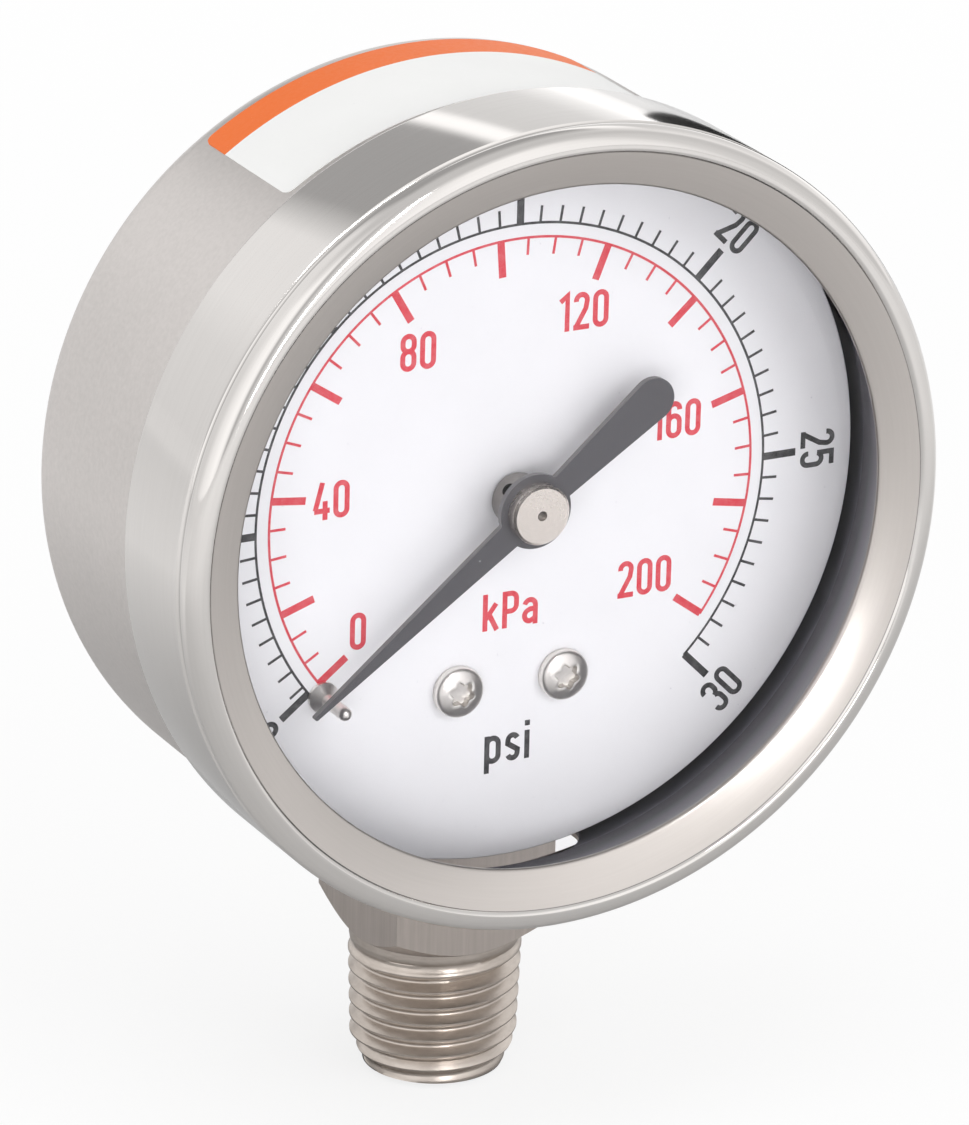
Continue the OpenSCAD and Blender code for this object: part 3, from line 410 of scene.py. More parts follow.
# The seam at the lip and the groove behind the bead get lines of painted shade
bezel_metal = metal(
    "bezel_polish", (0.68, 0.655, 0.635), (0.645, 0.62, 0.60), 0.08, "turned", 0.0003, 35, 0.02, satin=SEAM_R,
    creases=[(0.04, SEAM_R, None), (0.28, BEZEL_IN, GROOVE_H)],
)
socket_metal = metal(
    "socket_milled", (0.54, 0.486, 0.454), (0.43, 0.387, 0.355), 0.44, (2600, 2600, 90), 0.006
)
stem_metal = metal("stem_turned", (0.60, 0.54, 0.49), (0.46, 0.405, 0.36), 0.33, (900, 900, 4200), 0.006)
arbor_metal = metal("arbor_dark", (0.20, 0.19, 0.18), (0.12, 0.11, 0.10), 0.4, FACED, 0.003)
screw_metal = metal("screw_plain", (0.74, 0.71, 0.67), (0.62, 0.59, 0.56), 0.2, FACED, 0.003)
case_screw_metal = metal("case_screw_plain", (0.60, 0.57, 0.54), (0.50, 0.47, 0.45), 0.27, FACED, 0.003)
dial_screw_metal = metal("dial_screw_satin", (0.88, 0.85, 0.81), (0.80, 0.77, 0.73), 0.36, FACED, 0.003)
nickel = metal("cap_nickel_satin", (0.90, 0.835, 0.77), (0.82, 0.755, 0.69), 0.26, "turned", 0.003, 250)
hub_metal = metal("hub_turned", (0.31, 0.29, 0.275), (0.22, 0.205, 0.195), 0.2, "turned", 0.003, 250)
brass = metal("movement_brass_satin", (0.72, 0.54, 0.25), (0.58, 0.41, 0.17), 0.32, (300, 900, 2600), 0.003)
bronze = metal("spring_bronze_satin", (0.62, 0.40, 0.20), (0.48, 0.29, 0.13), 0.3, (300, 900, 2600), 0.002)
tube_metal = metal("tube_drawn", (0.58, 0.55, 0.50), (0.46, 0.43, 0.39), 0.3, "turned", 0.003)
gasket_grey = gasket_rubber()
plug_black = rubber("plug_black", (0.03, 0.03, 0.032))
dial_white = paint("dial_enamel", (0.89, 0.89, 0.90), (0.62, 0.62, 0.65), 0.27, 0.5)
pointer_black = paint(
    "pointer_lacquer", (0.075, 0.073, 0.08), (0.42, 0.42, 0.43), 0.24, 0.42, edge=(0.19, 0.185, 0.19)
)
ink_black = ink("print_black", (0.012, 0.011, 0.013))
ink_red = ink("print_red", (0.68, 0.032, 0.055))
label_white = paint("label_white", (0.84, 0.84, 0.83), (0.70, 0.70, 0.70), 0.25, 0.48)
label_orange = paint("label_orange", (0.80, 0.16, 0.025), (0.80, 0.32, 0.16), 0.26, 0.5)


def dress(material, *nodes):
    """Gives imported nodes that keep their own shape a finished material."""
    for name in nodes:
        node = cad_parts[name]
        node.data.materials.clear()
        node.data.materials.append(material)


dress(screw_metal, "dial_posts", "tip_pin", "tail_pin", "sector_arbor", "plate_screws", "movement_screws")
dress(dial_screw_metal, "stop_pin")
dress(arbor_metal, "pinion_arbor")
dress(brass, "link_bar", "sector_gear", "front_plate", "rear_plate", "pillars")
dress(brass, "hairspring_collet", "hairspring_stud")
dress(bronze, "hairspring")
dress(tube_metal, "bourdon_tube", "tube_tip")
dress(pointer_black, "pointer_blade")
dress(hub_metal, "pointer_hub")
dress(nickel, "pointer_cap")


# Case, bezel, window


def case_profile():
    inner, corner = CASE_R - CASE_WALL, CASE_CORNER - CASE_WALL
    back_in = CASE_DEPTH - CASE_WALL
    edge = 0.15
    return (
        [(CASE_R, CASE_RIM)]
        + arc(CASE_R - CASE_CORNER, CASE_CORNER - CASE_DEPTH, CASE_CORNER, 0, -90, 12)
        + [(0, -CASE_DEPTH), (0, -back_in)]
        + arc(inner - corner, corner - back_in, corner, -90, 0, 8)
        + [(inner, CASE_RIM - edge), (inner + edge, CASE_RIM)]
    )


def opening_outline():
    """Outline of the socket opening, seen from below, with two round corners in front."""
    side, front = OPENING_X - OPENING_ROUND, OPENING_FRONT - OPENING_ROUND
    return (
        [(-OPENING_X, OPENING_BACK), (OPENING_X, OPENING_BACK)]
        + arc(side, front, OPENING_ROUND, 0, 90, 12)
        + arc(-side, front, OPENING_ROUND, 90, 180, 12)
    )


def cut_opening(piece):
    """Takes the socket opening out of the case and keeps the result as its mesh."""
    bm = bmesh.new()
    rings = [
        [bm.verts.new(dial_point(x, up, h)) for x, h in opening_outline()]
        for up in (-2 * CASE_R, OPENING_TOP)
    ]
    count = len(rings[0])
    for i in range(count):
        j = (i + 1) % count
        bm.faces.new((rings[0][i], rings[0][j], rings[1][j], rings[1][i]))
    for ring in rings:
        bm.faces.new(ring)
    bmesh.ops.recalc_face_normals(bm, faces=bm.faces)
    cutter = place_mesh("cutter", bm)
    boolean = piece.modifiers.new("opening", "BOOLEAN")
    boolean.object = cutter
    boolean.solver = "EXACT"
    bpy.context.view_layer.update()
    result = bpy.data.meshes.new_from_object(piece.evaluated_get(bpy.context.evaluated_depsgraph_get()))
    piece.modifiers.clear()
    piece.data = result
    bpy.data.objects.remove(cutter)


case = finish_mesh(
    "case_cup", revolve(case_profile()), case_metal, replaces=["case_shell"]
)
cut_opening(case)


def bezel_profile():
    outer = BEZEL_IN + BEZEL_WALL
    bead_c, bead_h = outer - BEAD_R, BEAD_TOP - BEAD_R
    half, lip_half = BEZEL_WALL / 2, LIP_WALL / 2
    soften = 0.07
    return (
        arc(BEZEL_IN + half, half - BEZEL_BACK, half, 180, 360, 12)
        + [(outer, GROOVE_H - GROOVE_R - soften)]
        + arc(outer + soften, GROOVE_H, GROOVE_R + soften, 255, 105, 10)
        + arc(bead_c, bead_h, BEAD_R, 0, 90, 24)
        + arc(bead_c, BEAD_TOP - BEAD_EDGE, BEAD_EDGE, 100, 140, 6)
        + [(SEAM_R, SEAM_H), (SEAM_R - 0.06, SEAM_H - 0.01)]
        + arc(LIP_R + lip_half, LIP_H - lip_half, lip_half, 108, 270, 10)
        + [(BEZEL_IN, LIP_H - LIP_WALL)]
    )


finish_mesh("bezel", revolve(bezel_profile()), bezel_metal, replaces=["bezel_ring"])

sleeve_r, seat_r = CASE_R - CASE_WALL - FIT, WINDOW_R + FIT
gasket_profile = [
    (GASKET_R, GASKET_BACK),
    (sleeve_r, GASKET_BACK),
    (sleeve_r, CASE_RIM + FIT),
    (CASE_R - FIT, CASE_RIM + FIT),
    (CASE_R - FIT, GASKET_TOP),
    (seat_r, GASKET_TOP),
    (seat_r, GASKET_SEAT),
    (GASKET_R, GASKET_SEAT),
]
finish_mesh("gasket", revolve(gasket_profile), gasket_grey, replaces=["window_gasket"])

window_profile = [
    (0, WINDOW_H),
    (WINDOW_R - WINDOW_EDGE, WINDOW_H),
    (WINDOW_R, WINDOW_H + WINDOW_EDGE),
    (WINDOW_R, WINDOW_H + WINDOW_T - WINDOW_EDGE),
    (WINDOW_R - WINDOW_EDGE, WINDOW_H + WINDOW_T),
    (0, WINDOW_H + WINDOW_T),
]
finish_mesh("window_pane", revolve(window_profile), window_glass(), replaces=["window"])

dial_profile = [(DIAL_HOLE, 0), (DIAL_R - 0.1, 0), (DIAL_R, -0.1), (DIAL_R, -DIAL_T), (DIAL_HOLE, -DIAL_T)]
finish_mesh("dial", revolve(dial_profile), dial_white, replaces=["dial_plate"])


# Stem thread


# One turn of the thread, from crest to crest: share of the pitch and share of the depth
THREAD_FORM = (
    (-0.05, 0.0), (0.05, 0.0), (0.16, 0.29), (0.27, 0.58), (0.38, 0.87), (0.44, 1.0),
    (0.56, 1.0), (0.62, 0.87), (0.73, 0.58), (0.84, 0.29),
)


def thread_radius(z, depth):
    """Radius of the stem at height z, with a share of the thread depth cut into its taper."""
    crest = THREAD_R + (THREAD_TOP_R - THREAD_R) * z / THREAD_LEN if z <= THREAD_LEN else COLLAR_R
    run_out = min(1.0, max(0.0, (COLLAR_TOP - 0.3 - z) / (1.4 * PITCH)))
    end = min(1.0, z / CHAMFER_H)
    chamfer = THREAD_R - CHAMFER + (CHAMFER + 0.08) * end
    return min(crest, chamfer if end < 1 else crest) - THREAD_DEPTH * depth * run_out * (0.4 + 0.6 * end)


def threaded_stem(segments=144):
    """Closed tube with the thread outside, in rows that climb with it, and the port inside."""
    bm = bmesh.new()
    turns = math.ceil(COLLAR_TOP / PITCH) + 1
    columns = []
    for k in range(segments + 1):
        outside = []
        for row in range(-2, turns):
            for share, depth in THREAD_FORM:
                z = min(COLLAR_TOP, max(0.0, (row + share + THREAD_PHASE + k / segments) * PITCH))
                outside.append((thread_radius(z, depth), z))
        loop = outside + [(PORT_R, COLLAR_TOP), (PORT_R, 0.0)]
        turn = 360 * k / segments
        columns.append([bm.verts.new((*[c * MM for c in polar(r, turn)], z * MM)) for r, z in loop])
    count = len(columns[0])
    for here, there in zip(columns, columns[1:]):
        for i in range(count):
            j = (i + 1) % count
            bm.faces.new((here[i], here[j], there[j], there[i]))
    return bm


def bare_copy(node):
    """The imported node's faces alone, without its stored normals."""
    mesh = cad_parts[node].data
    bm = bmesh.new()
    corners = [bm.verts.new(v.co) for v in mesh.vertices]
    for face in mesh.polygons:
        bm.faces.new([corners[i] for i in face.vertices])
    bmesh.ops.remove_doubles(bm, verts=bm.verts, dist=1e-7)
    return bm


def socket_top():
    """The socket above the thread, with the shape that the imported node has."""
    bm = bare_copy("socket")
    geometry = bm.verts[:] + bm.edges[:] + bm.faces[:]
    cut = bmesh.ops.bisect_plane(
        bm, geom=geometry, plane_co=(0, 0, COLLAR_TOP * MM), plane_no=(0, 0, 1), clear_inner=True
    )
    edges = [e for e in cut["geom_cut"] if isinstance(e, bmesh.types.BMEdge)]
    bmesh.ops.bridge_loops(bm, edges=edges)
    return bm


finish_mesh("stem", threaded_stem(), stem_metal, sharp=50)
finish_mesh("socket_block", socket_top(), socket_metal, replaces=["socket"])


# Screws and plug


def dome(r, size):
    """Height of a screw head's dome at a distance from its middle."""
    head_r, head_h, edge = size[:3]
    rise = head_h - edge
    ball = (head_r**2 + rise**2) / (2 * rise)
    return head_h - ball + math.sqrt(ball**2 - r**2)


def screw_rings(turn, size):
    """Outline of a screw in one direction: recess, dome, edge and shank, from top to bottom."""
    head_r, head_h, edge, shank_r, length = size
    lobe = LOBE_R + LOBE_WAVE * math.cos(math.radians(6 * turn + 90))
    floor, rim = head_h - RECESS_DEPTH, dome(lobe, size)
    recess = [
        (lobe * 0.4, floor - 0.02), (lobe * 0.86, floor), (lobe * 0.92, rim - 0.16), (lobe, rim - 0.04),
        (lobe * 1.12, dome(lobe * 1.12, size) - 0.004),
    ]
    shoulder = [(r, dome(r, size)) for r in ((lobe * 1.12 + 1.45) / 2, 1.5, head_r - 0.3, head_r - 0.09)]
    side = [(head_r - 0.02, edge - 0.06), (head_r, edge - 0.16), (head_r, 0.08), (head_r - 0.06, 0.0)]
    shank = [(shank_r, 0.0), (shank_r, 0.2 - length), (shank_r - 0.2, -length)]
    return recess + shoulder + side + shank


def screw_pair(at, size, facing=1, segments=96):
    """Two screws beside the middle, with their heads to the front, or to the rear if facing is -1."""
    bm = bmesh.new()
    for x0 in (-at[0], at[0]):
        rings = []
        for k in range(segments):
            turn = 360 * k / segments
            cos, sin = polar(1, turn)
            column = [(x0 + r * cos, at[1] + r * sin, at[2] + facing * h) for r, h in screw_rings(turn, size)]
            rings.append([bm.verts.new(dial_point(*q)) for q in column])
        for here, there in zip(rings, rings[1:] + rings[:1]):
            for i in range(len(here) - 1):
                bm.faces.new((here[i], here[i + 1], there[i + 1], there[i]))
        bm.faces.new([ring[0] for ring in rings])
        bm.faces.new([ring[-1] for ring in rings])
    return bm


finish_mesh(
    "dial_screw_pair", screw_pair(DIAL_SCREW_AT, DIAL_SCREW), dial_screw_metal,
    replaces=["dial_screws"], sharp=40,
)
finish_mesh(
    "case_screw_pair", screw_pair(CASE_SCREW_AT, CASE_SCREW, -1), case_screw_metal,
    replaces=["case_screws"], sharp=40,
)


def plug_profile():
    """Rubber plug with a dished face and a soft rim outside, and a barb inside the case back."""
    out, lap = -CASE_DEPTH - PLUG_T, CASE_WALL + 0.02
    soft = PLUG_T / 2
    return (
        [(0, out + PLUG_DISH), (PLUG_DISH_R, out + PLUG_DISH)]
        + arc(PLUG_DISH_R, out + PLUG_DISH + 0.25, 0.25, -90, -45, 4)
        + arc(PLUG_DISH_R + 0.75, out + 0.3, 0.3, 225, 270, 4)
        + arc(PLUG_R - soft, out + soft, soft, -90, 0, 8)
        + [(PLUG_R, -CASE_DEPTH - 0.02), (PLUG_NECK_R, -CASE_DEPTH - 0.02), (PLUG_NECK_R, lap - CASE_DEPTH)]
        + [(PLUG_R - PLUG_T / 3, lap - CASE_DEPTH), (PLUG_NECK_R - PLUG_T, CASE_WALL + PLUG_T - CASE_DEPTH)]
        + [(0, CASE_WALL + PLUG_T - CASE_DEPTH)]
    )


finish_mesh(
    "plug", revolve(plug_profile(), 96, PLUG_UP), plug_black, replaces=["relief_plug"]
)


# Dial print


def ribbon(bm, points, width, closed=False, layer=0):
    """A flat printed line of constant width, as a thin slab on the dial face."""
    top = INK + 0.002 * layer
    count = len(points)
    sides = []
    for i, p in enumerate(points):
        before = points[i - 1] if i or closed else None
        after = points[(i + 1) % count] if i < count - 1 or closed else None
        steps = [(Vector(b) - Vector(a)).normalized() for a, b in ((before, p), (p, after)) if a and b]
        along = sum(steps, Vector((0, 0))).normalized()
        out = Vector((-along.y, along.x))
        miter = max(0.5, out.dot(Vector((-steps[0].y, steps[0].x))))
        reach = out * (width / 2 / miter)
        sides.append([Vector(p) + reach, Vector(p) - reach])
    tops = [[bm.verts.new(dial_point(*q, top)) for q in pair] for pair in sides]
    feet = [[bm.verts.new(dial_point(*q, -0.01)) for q in pair] for pair in sides]
    spans = range(count if closed else count - 1)
    for i in spans:
        j = (i + 1) % count
        bm.faces.new((tops[i][0], tops[j][0], tops[j][1], tops[i][1]))
        bm.faces.new((feet[i][0], feet[i][1], feet[j][1], feet[j][0]))
        for s in (0, 1):
            bm.faces.new((tops[i][s], tops[j][s], feet[j][s], feet[i][s]))
    if not closed:
        for i in (0, count - 1):
            bm.faces.new((tops[i][0], tops[i][1], feet[i][1], feet[i][0]))


# Narrow technical figures: strokes in a box one unit high, drawn on their centre lines
STROKE, NARROW = 0.138, 0.45
LEFT, RIGHT, LOW, HIGH = STROKE / 2, NARROW - STROKE / 2, STROKE / 2, 1 - STROKE / 2
BOW = (RIGHT - LEFT) / 2
MID = (LEFT + RIGHT) / 2
X_HIGH = 0.74 - STROKE / 2


def oval(low, high):
    """Closed upright oval with straight sides."""
    return arc(MID, high - BOW, BOW, 0, 180, 12) + arc(MID, low + BOW, BOW, 180, 360, 12)


def glyph(sign):
    """Strokes of one sign, as (points, closed) pairs, and its width."""
    waist = 0.53
    shapes = {
        "0": [(oval(LOW, HIGH), True)],
        "1": [([(0.05, 0.80), (0.25, 0.955), (0.25, 0.0)], False)],
        "2": [
            (arc(MID, HIGH - BOW, BOW, 188, -12, 14)
             + [(RIGHT - 0.035, 0.56), (LEFT + 0.01, LOW + 0.02)], False),
            ([(0.0, LOW), (NARROW, LOW)], False),
        ],
        "3": [
            (arc(MID, HIGH - BOW, BOW, 185, 0, 12) + arc(MID, waist + BOW, BOW, 0, -80, 6), False),
            (arc(MID, waist - BOW, BOW, 80, 0, 6) + arc(MID, LOW + BOW, BOW, 0, -185, 12), False),
        ],
        "4": [
            ([(0.24, 1.0), (0.045, 0.27)], False),
            ([(0.02, 0.245), (NARROW, 0.245)], False),
            ([(0.32, 0.50), (0.32, 0.0)], False),
        ],
        "5": [
            ([(RIGHT + 0.04, HIGH), (LEFT, HIGH), (LEFT, 0.50)], False),
            (arc(MID, 0.63 - BOW, BOW, 165, 0, 10) + arc(MID, LOW + BOW, BOW, 0, -185, 12), False),
        ],
        "6": [
            (oval(LOW, 0.60), True),
            (arc(MID, HIGH - BOW, BOW, -5, 180, 12) + [(LEFT, 0.30)], False),
        ],
        "8": [(oval(LOW, waist), True), (oval(waist, HIGH), True)],
        "k": [
            ([(LEFT, 0.0), (LEFT, 1.0)], False),
            ([(RIGHT, 0.72), (LEFT, 0.30)], False),
            ([(MID - 0.04, 0.44), (RIGHT + 0.03, 0.0)], False),
        ],
        "P": [
            ([(LEFT, 0.0), (LEFT, 1.0)], False),
            ([(LEFT, HIGH)] + arc(MID + 0.02, HIGH - BOW, BOW, 90, 0, 6)
             + arc(MID + 0.02, 0.45 + BOW, BOW, 0, -90, 6) + [(LEFT, 0.45)], False),
        ],
        "a": [
            (arc(MID, X_HIGH - BOW, BOW, 165, 0, 12) + [(RIGHT, 0.0)], False),
            ([(RIGHT, 0.42), (MID, 0.42)] + arc(MID, LOW + 0.18, 0.155, 120, 270, 8)
             + [(RIGHT, LOW + 0.1)], False),
        ],
        "p": [([(LEFT, -0.24), (LEFT, 0.74)], False), (oval(LOW, X_HIGH), True)],
        "s": [
            (arc(MID, X_HIGH - 0.13, 0.13, 20, 180, 10) + [(LEFT + 0.02, 0.46), (RIGHT - 0.02, 0.28)]
             + arc(MID, LOW + 0.13, 0.13, 0, -160, 10), False),
        ],
        "i": [([(LEFT, 0.0), (LEFT, 0.74)], False), ([(LEFT, 0.86), (LEFT, 1.0)], False)],
    }
    widths = {"1": 0.33, "i": STROKE, "k": 0.46, "P": 0.47}
    return shapes[sign], widths.get(sign, NARROW)


def lettering(bm, words, centre, turn, height=DIGIT_H, gap=0.10):
    """Writes signs on the dial round a centre, turned by an angle in degrees."""
    total = sum(glyph(c)[1] for c in words) + gap * (len(words) - 1)
    cos, sin = math.cos(math.radians(turn)), math.sin(math.radians(turn))
    start = -total / 2
    for c in words:
        strokes, width = glyph(c)
        for layer, (points, closed) in enumerate(strokes):
            placed = [((start + x) * height, (y - 0.5) * height) for x, y in points]
            flat = [(centre[0] + x * cos - y * sin, centre[1] + x * sin + y * cos) for x, y in placed]
            ribbon(bm, flat, STROKE * height, closed, layer)
        start += width + gap


def scale_angle(psi):
    """Direction of a pressure on the dial."""
    return SCALE_START - SCALE_SPAN * psi / SCALE_MAX


def tick(bm, turn, inner, outer, width):
    ribbon(bm, [polar(inner, turn), polar(outer, turn)], width, layer=1)


def black_scale():
    bm = bmesh.new()
    ribbon(bm, arc(0, 0, BLACK_ARC, ZERO_TICK + 0.2, scale_angle(SCALE_MAX) - 0.2, 220), HAIRLINE)
    for half in range(2, 2 * SCALE_MAX + 1):
        psi = half / 2
        major = psi % 5 == 0
        outer, width = (BLACK_MAJOR, MAJOR_W) if major else (BLACK_MINOR, MINOR_W)
        tick(bm, scale_angle(psi), BLACK_ARC, outer, width)
    tick(bm, ZERO_TICK, BLACK_ARC, BLACK_MAJOR, MAJOR_W)
    for psi in range(0, SCALE_MAX + 1, 5):
        turn = ZERO_TICK if psi == 0 else scale_angle(psi)
        lean = turn - 90
        if psi in (0, SCALE_MAX):
            lean += 180
        lettering(bm, str(psi), polar(BLACK_NUMBERS, turn), lean)
    lettering(bm, "psi", PSI_AT, 0, PSI_H)
    return bm


def red_scale():
    bm = bmesh.new()
    last = 200
    end = scale_angle(last / KPA_PER_PSI)
    ribbon(bm, arc(0, 0, RED_ARC, ZERO_TICK + 0.2, end - 0.2, 220), HAIRLINE)
    for kpa in range(10, last + 1, 5):
        inner, width = (RED_MAJOR, MAJOR_W) if kpa % 20 == 0 else (RED_MINOR, MINOR_W)
        tick(bm, scale_angle(kpa / KPA_PER_PSI), inner, RED_ARC, width)
    tick(bm, ZERO_TICK, RED_MAJOR, RED_ARC, MAJOR_W)
    for kpa, place in RED_NUMBERS.items():
        lettering(bm, str(kpa), place, 0)
    lettering(bm, "kPa", KPA_AT, 0)
    return bm


finish_mesh("print_psi", black_scale(), ink_black)
finish_mesh("print_kpa", red_scale(), ink_red)


# Blank sticker on the case


def sticker(name, low, high, low_corner, high_corner, material):
    """Thin curved patch on the case between two heights, with rounded corners on its outer side."""
    bm = bmesh.new()
    columns, thick, radius = 180, 0.04, CASE_R + 0.005
    span = abs(math.radians(STICKER_TO - STICKER_FROM)) * radius
    rims = []
    for i in range(columns + 1):
        turn = STICKER_FROM + (STICKER_TO - STICKER_FROM) * i / columns
        from_end = min(i, columns - i) / columns * span

        def inset(corner):
            return corner - math.sqrt(max(0.0, corner**2 - max(0.0, corner - from_end) ** 2))

        rows = low + inset(low_corner), high - inset(high_corner)
        edge = ((radius + thick, rows[0]), (radius + thick, rows[1]), (radius, rows[1]), (radius, rows[0]))
        rims.append([bm.verts.new(dial_point(*polar(r, turn), h)) for r, h in edge])
    for here, there in zip(rims, rims[1:]):
        for i in range(4):
            bm.faces.new((here[i], here[(i + 1) % 4], there[(i + 1) % 4], there[i]))
    bm.faces.new(rims[0])
    bm.faces.new(rims[-1])
    return finish_mesh(name, bm, material)


sticker("sticker_band", STICKER_REAR, STICKER_JOINT, STICKER_CORNER, 0.0, label_orange)
sticker("sticker_field", STICKER_JOINT, STICKER_FRONT, 0.0, STICKER_CORNER, label_white)


# Studio


def shader_value(tree, kind, operation, *values):
    """One math or mixing node in a world or stage shader, fed with numbers or sockets."""
    node = tree.nodes.new(kind)
    if operation:
        node.operation = operation
    for socket, value in zip([i for i in node.inputs if i.enabled], values):
        if isinstance(value, (int, float)):
            socket.default_value = value
        else:
            tree.links.new(value, socket)
    return node.outputs[0]


def floor_material():
    """Pale floor: white to the camera, and it still takes the object's shadow. To reflections its colour has
    painted shade near the object and a little painted light further behind it, and far off it glows to them.
    """
    n = Nodes("floor_pale")
    out = n.tree.nodes["Material Output"]
    n.bsdf.inputs["Roughness"].default_value = 0.9
    n.bsdf.inputs["Specular IOR Level"].default_value = 0.0
    soft = n.noise(n.place(), 3, 2.0)
    pale = n.ramp(soft, (0.3, 0.86), (0.7, 0.9))
    away = n.add("ShaderNodeVectorMath", operation="LENGTH")
    n.link(n.place(), away.inputs[0])
    away = away.outputs["Value"]
    share = n.math("MULTIPLY", away, 2.5)
    path = n.add("ShaderNodeLightPath")
    # Painted shade for reflections: the floor's colour is darker near the object and a little lighter far
    # behind it
    front = n.ramp(
        share, (0.05, 0.66), (0.15, 0.67), (0.25, 0.72), (0.35, 0.8), (0.45, 0.92), (0.56, 1.0)
    )
    rear = n.ramp(share, (0.1, 0.6), (0.25, 0.86), (0.4, 1.1))
    behind = n.ramp(n.math("MULTIPLY", n.axis_parts()[1], 20), (0.2, 0.0), (0.8, 1.0))
    mirrored = n.mix(1.0, pale, n.mix(behind, front, rear), "MULTIPLY")
    n.link(n.mix(path.outputs["Is Glossy Ray"], pale, mirrored), n.bsdf.inputs["Base Color"])
    glow = n.add("ShaderNodeEmission")
    glow.inputs["Strength"].default_value = 1.0
    seen = n.math("MAXIMUM", path.outputs["Is Camera Ray"], path.outputs["Is Transmission Ray"])
    blend = n.add("ShaderNodeMixShader")
    seen = n.math("MULTIPLY", seen, n.ramp(share, (0.0, 0.8), (0.25, 0.9), (0.9, 1.0)))
    far = n.math("MULTIPLY", path.outputs["Is Glossy Ray"], n.ramp(away, (0.2, 0.0), (0.9, 0.95)))
    n.link(n.math("MAXIMUM", seen, far), blend.inputs["Fac"])
    n.link(n.bsdf.outputs[0], blend.inputs[1])
    n.link(glow.outputs[0], blend.inputs[2])
    n.link(blend.outputs[0], out.inputs["Surface"])
    return n.material


def build_floor():
    bm = bmesh.new()
    bmesh.ops.create_circle(bm, cap_ends=True, segments=96, radius=FLOOR_R)
    floor = place_mesh("floor", bm)
    floor.location.z = -FLOOR_GAP
    floor.data.materials.append(floor_material())


# What polished metal sees: brightness round the dial axis behind the object and from left to right in front
# of it, both by direction in degrees, and brightness from above
REAR_LIGHT = (
    (-180, 0.95), (-90, 0.88), (-22, 0.66), (-12, 0.7), (0, 1.2), (10, 1.5), (16, 1.2), (26, 0.95), (48, 0.9),
    (51, 1.5), (56, 1.5), (60, 0.5), (100, 0.5), (114, 1.12), (140, 1.12), (155, 1.0), (180, 0.95),
)
FRONT_LIGHT = (
    (-180, 1.0), (-95, 1.2), (-70, 1.37), (-50, 1.45), (-40, 1.3), (-30, 0.62), (-20, 0.85),
    (-13, 1.02), (-7, 1.18), (0, 1.26), (12, 1.38), (22, 1.38), (32, 1.27), (44, 0.97),
    (55, 0.92), (70, 0.84), (82, 0.85), (95, 1.2), (180, 1.0),
)
TOP_LIGHT = 0.82
DIFFUSE_LIGHT = 0.42


def light_round(tree, angle, stops):
    """Brightness by an angle, with stops in degrees, up to twice white."""
    share = shader_value(tree, "ShaderNodeMapRange", None, angle, -math.pi, math.pi)
    node = tree.nodes.new("ShaderNodeValToRGB")
    ramp = node.color_ramp
    while len(ramp.elements) < len(stops):
        ramp.elements.new(1.0)
    for element, (turn, value) in zip(ramp.elements, stops):
        element.position = (turn + 180) / 360
        element.color = (value / 2, value / 2, value / 2, 1)
    tree.links.new(share, node.inputs["Fac"])
    return shader_value(tree, "ShaderNodeMath", "MULTIPLY", node.outputs["Color"], 2.0)


def build_world():
    """Even light for the object, white for the camera, and a studio of soft boxes for reflections."""
    world = bpy.data.worlds.new("studio")
    bpy.context.scene.world = world
    world.use_nodes = True
    tree = world.node_tree
    back = tree.nodes["Background"]
    back.inputs["Color"].default_value = (1, 1, 1, 1)
    place = tree.nodes.new("ShaderNodeTexCoord")
    split = tree.nodes.new("ShaderNodeSeparateXYZ")
    tree.links.new(place.outputs["Generated"], split.inputs[0])
    x, y, z = split.outputs
    round_axis = shader_value(tree, "ShaderNodeMath", "ARCTAN2", z, x)
    behind = light_round(tree, round_axis, REAR_LIGHT)
    ahead = shader_value(tree, "ShaderNodeMath", "MULTIPLY", y, -1.0)
    across = shader_value(tree, "ShaderNodeMath", "ARCTAN2", x, ahead)
    before = light_round(tree, across, FRONT_LIGHT)
    high = shader_value(tree, "ShaderNodeMapRange", None, z, 0.7, 0.92)
    before = shader_value(tree, "ShaderNodeMix", None, high, before, TOP_LIGHT)
    depth = shader_value(tree, "ShaderNodeMapRange", None, y, 0.1, 0.5)
    studio = shader_value(tree, "ShaderNodeMix", None, depth, before, behind)
    path = tree.nodes.new("ShaderNodeLightPath")
    seen = shader_value(
        tree, "ShaderNodeMath", "MAXIMUM", path.outputs["Is Camera Ray"], path.outputs["Is Transmission Ray"]
    )
    level = shader_value(tree, "ShaderNodeMix", None, path.outputs["Is Glossy Ray"], DIFFUSE_LIGHT, studio)
    level = shader_value(tree, "ShaderNodeMix", None, seen, level, 1.0)
    tree.links.new(level, back.inputs["Strength"])


def card(name, corners, glow=0.0):
    """Card that only reflections see."""
    bm = bmesh.new()
    bm.faces.new([bm.verts.new(corner) for corner in corners])
    piece = place_mesh(name, bm)
    material = paint(name, (0.01, 0.01, 0.01), (0.02, 0.02, 0.02), 0.2, 0.9)
    bsdf = material.node_tree.nodes["Principled BSDF"]
    bsdf.inputs["Emission Color"].default_value = (1, 1, 1, 1)
    bsdf.inputs["Emission Strength"].default_value = glow
    piece.data.materials.append(material)
    piece.visible_camera = piece.visible_diffuse = piece.visible_shadow = False


def upright(x, y, width, low, high):
    """Corners of an upright card between two heights that faces the object."""
    across = Vector((-y, x, 0)).normalized() * width / 2
    foot, top = Vector((x, y, low)), Vector((x, y, high))
    return foot - across, foot + across, top + across, top - across


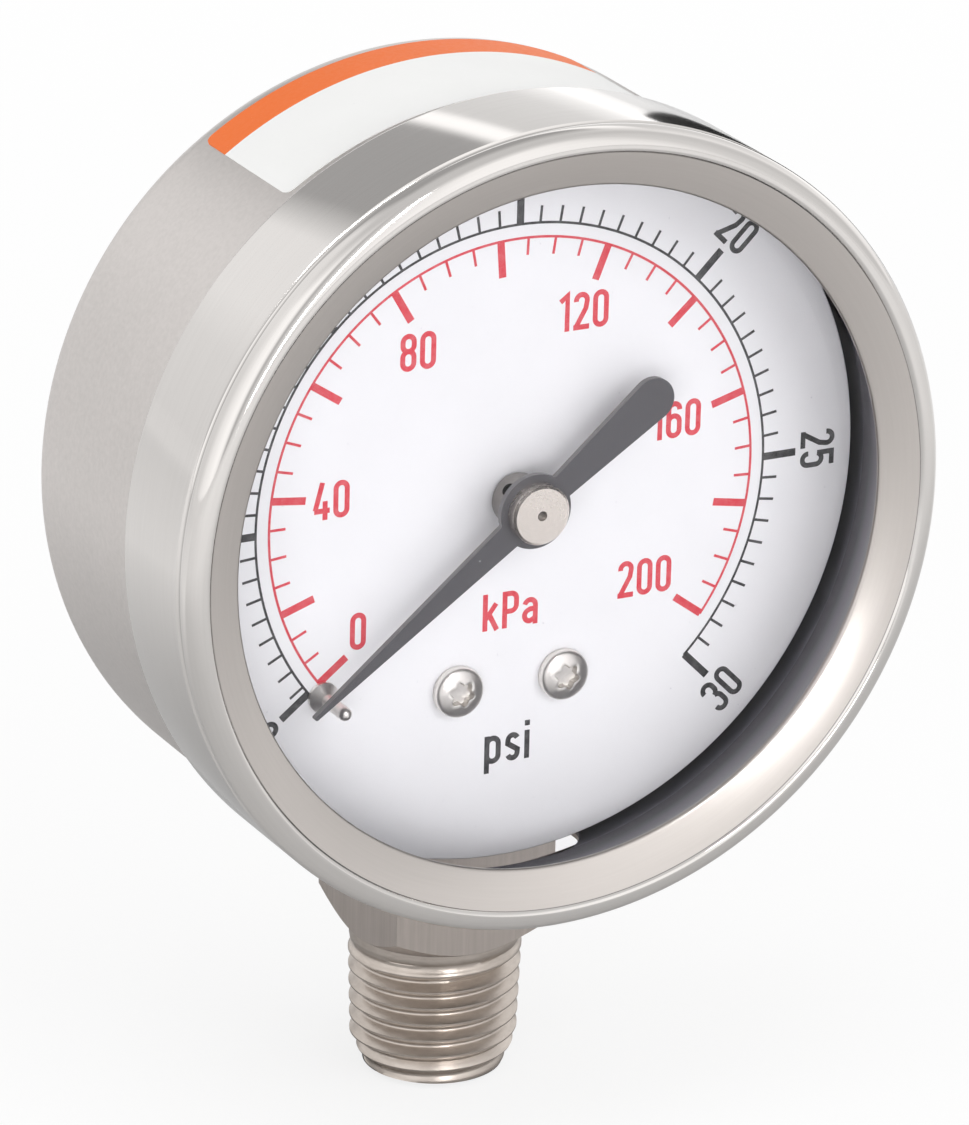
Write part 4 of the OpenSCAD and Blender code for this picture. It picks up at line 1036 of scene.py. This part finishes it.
def area_light(name, place, target, size, watts):
    lamp = bpy.data.lights.new(name, "AREA")
    lamp.shape = "RECTANGLE"
    lamp.size, lamp.size_y = size
    lamp.energy = watts
    light = bpy.data.objects.new(name, lamp)
    bpy.context.scene.collection.objects.link(light)
    light.visible_glossy = False
    light.location = place
    light.rotation_euler = (Vector(target) - Vector(place)).to_track_quat("-Z", "Y").to_euler()


def build_camera():
    """Camera at the photograph's view, where the dial's centre lies at a given pixel of the frame."""
    frame_w, frame_h = 969, 1125
    pixel = (513.28, 496.06)
    azimuth, elevation, roll = map(math.radians, (-27.994, 20.271, 1.482))
    distance, focal_px = 0.58937, 7641.6
    back = Vector(
        (
            math.sin(azimuth) * math.cos(elevation),
            -math.cos(azimuth) * math.cos(elevation),
            math.sin(elevation),
        )
    )
    right = Vector((math.cos(azimuth), math.sin(azimuth), 0))
    up = back.cross(right)
    toward = Vector((pixel[0] - frame_w / 2, frame_h / 2 - pixel[1], -focal_px)).normalized()
    look = Matrix((right, up, back)).transposed()
    twist = Matrix.Rotation(roll, 3, "Z")
    swing = Vector((0, 0, -1)).rotation_difference(toward).to_matrix()
    data = bpy.data.cameras.new("camera")
    data.sensor_width = 36
    data.lens = focal_px / frame_h * data.sensor_width
    data.clip_start, data.clip_end = 0.01, 50
    camera = bpy.data.objects.new("camera", data)
    bpy.context.scene.collection.objects.link(camera)
    turn = look @ twist @ swing.inverted()
    camera.matrix_world = Matrix.Translation(dial_point(0, 0, 0) + back * distance) @ turn.to_4x4()
    bpy.context.scene.camera = camera


build_floor()
build_world()
card("card_dark", upright(0.1523, 0.1536, 0.06, 0.0, 0.097))
card("card_strip", upright(-0.09, -0.6, 0.04, 0.04, 0.85), 18.0)
area_light("front_right", (0.5, -1.0, 0.65), (0, 0, 0.05), (1.3, 1.0), 10.2)
area_light("front_left", (-0.65, -1.0, 0.24), (0, 0, 0.05), (1.2, 0.44), 9.0)
area_light("top", (-0.3, -0.2, 1.2), (0, 0, 0.05), (0.9, 0.9), 6.0)
build_camera()
bpy.context.scene.view_settings.view_transform = "Standard"
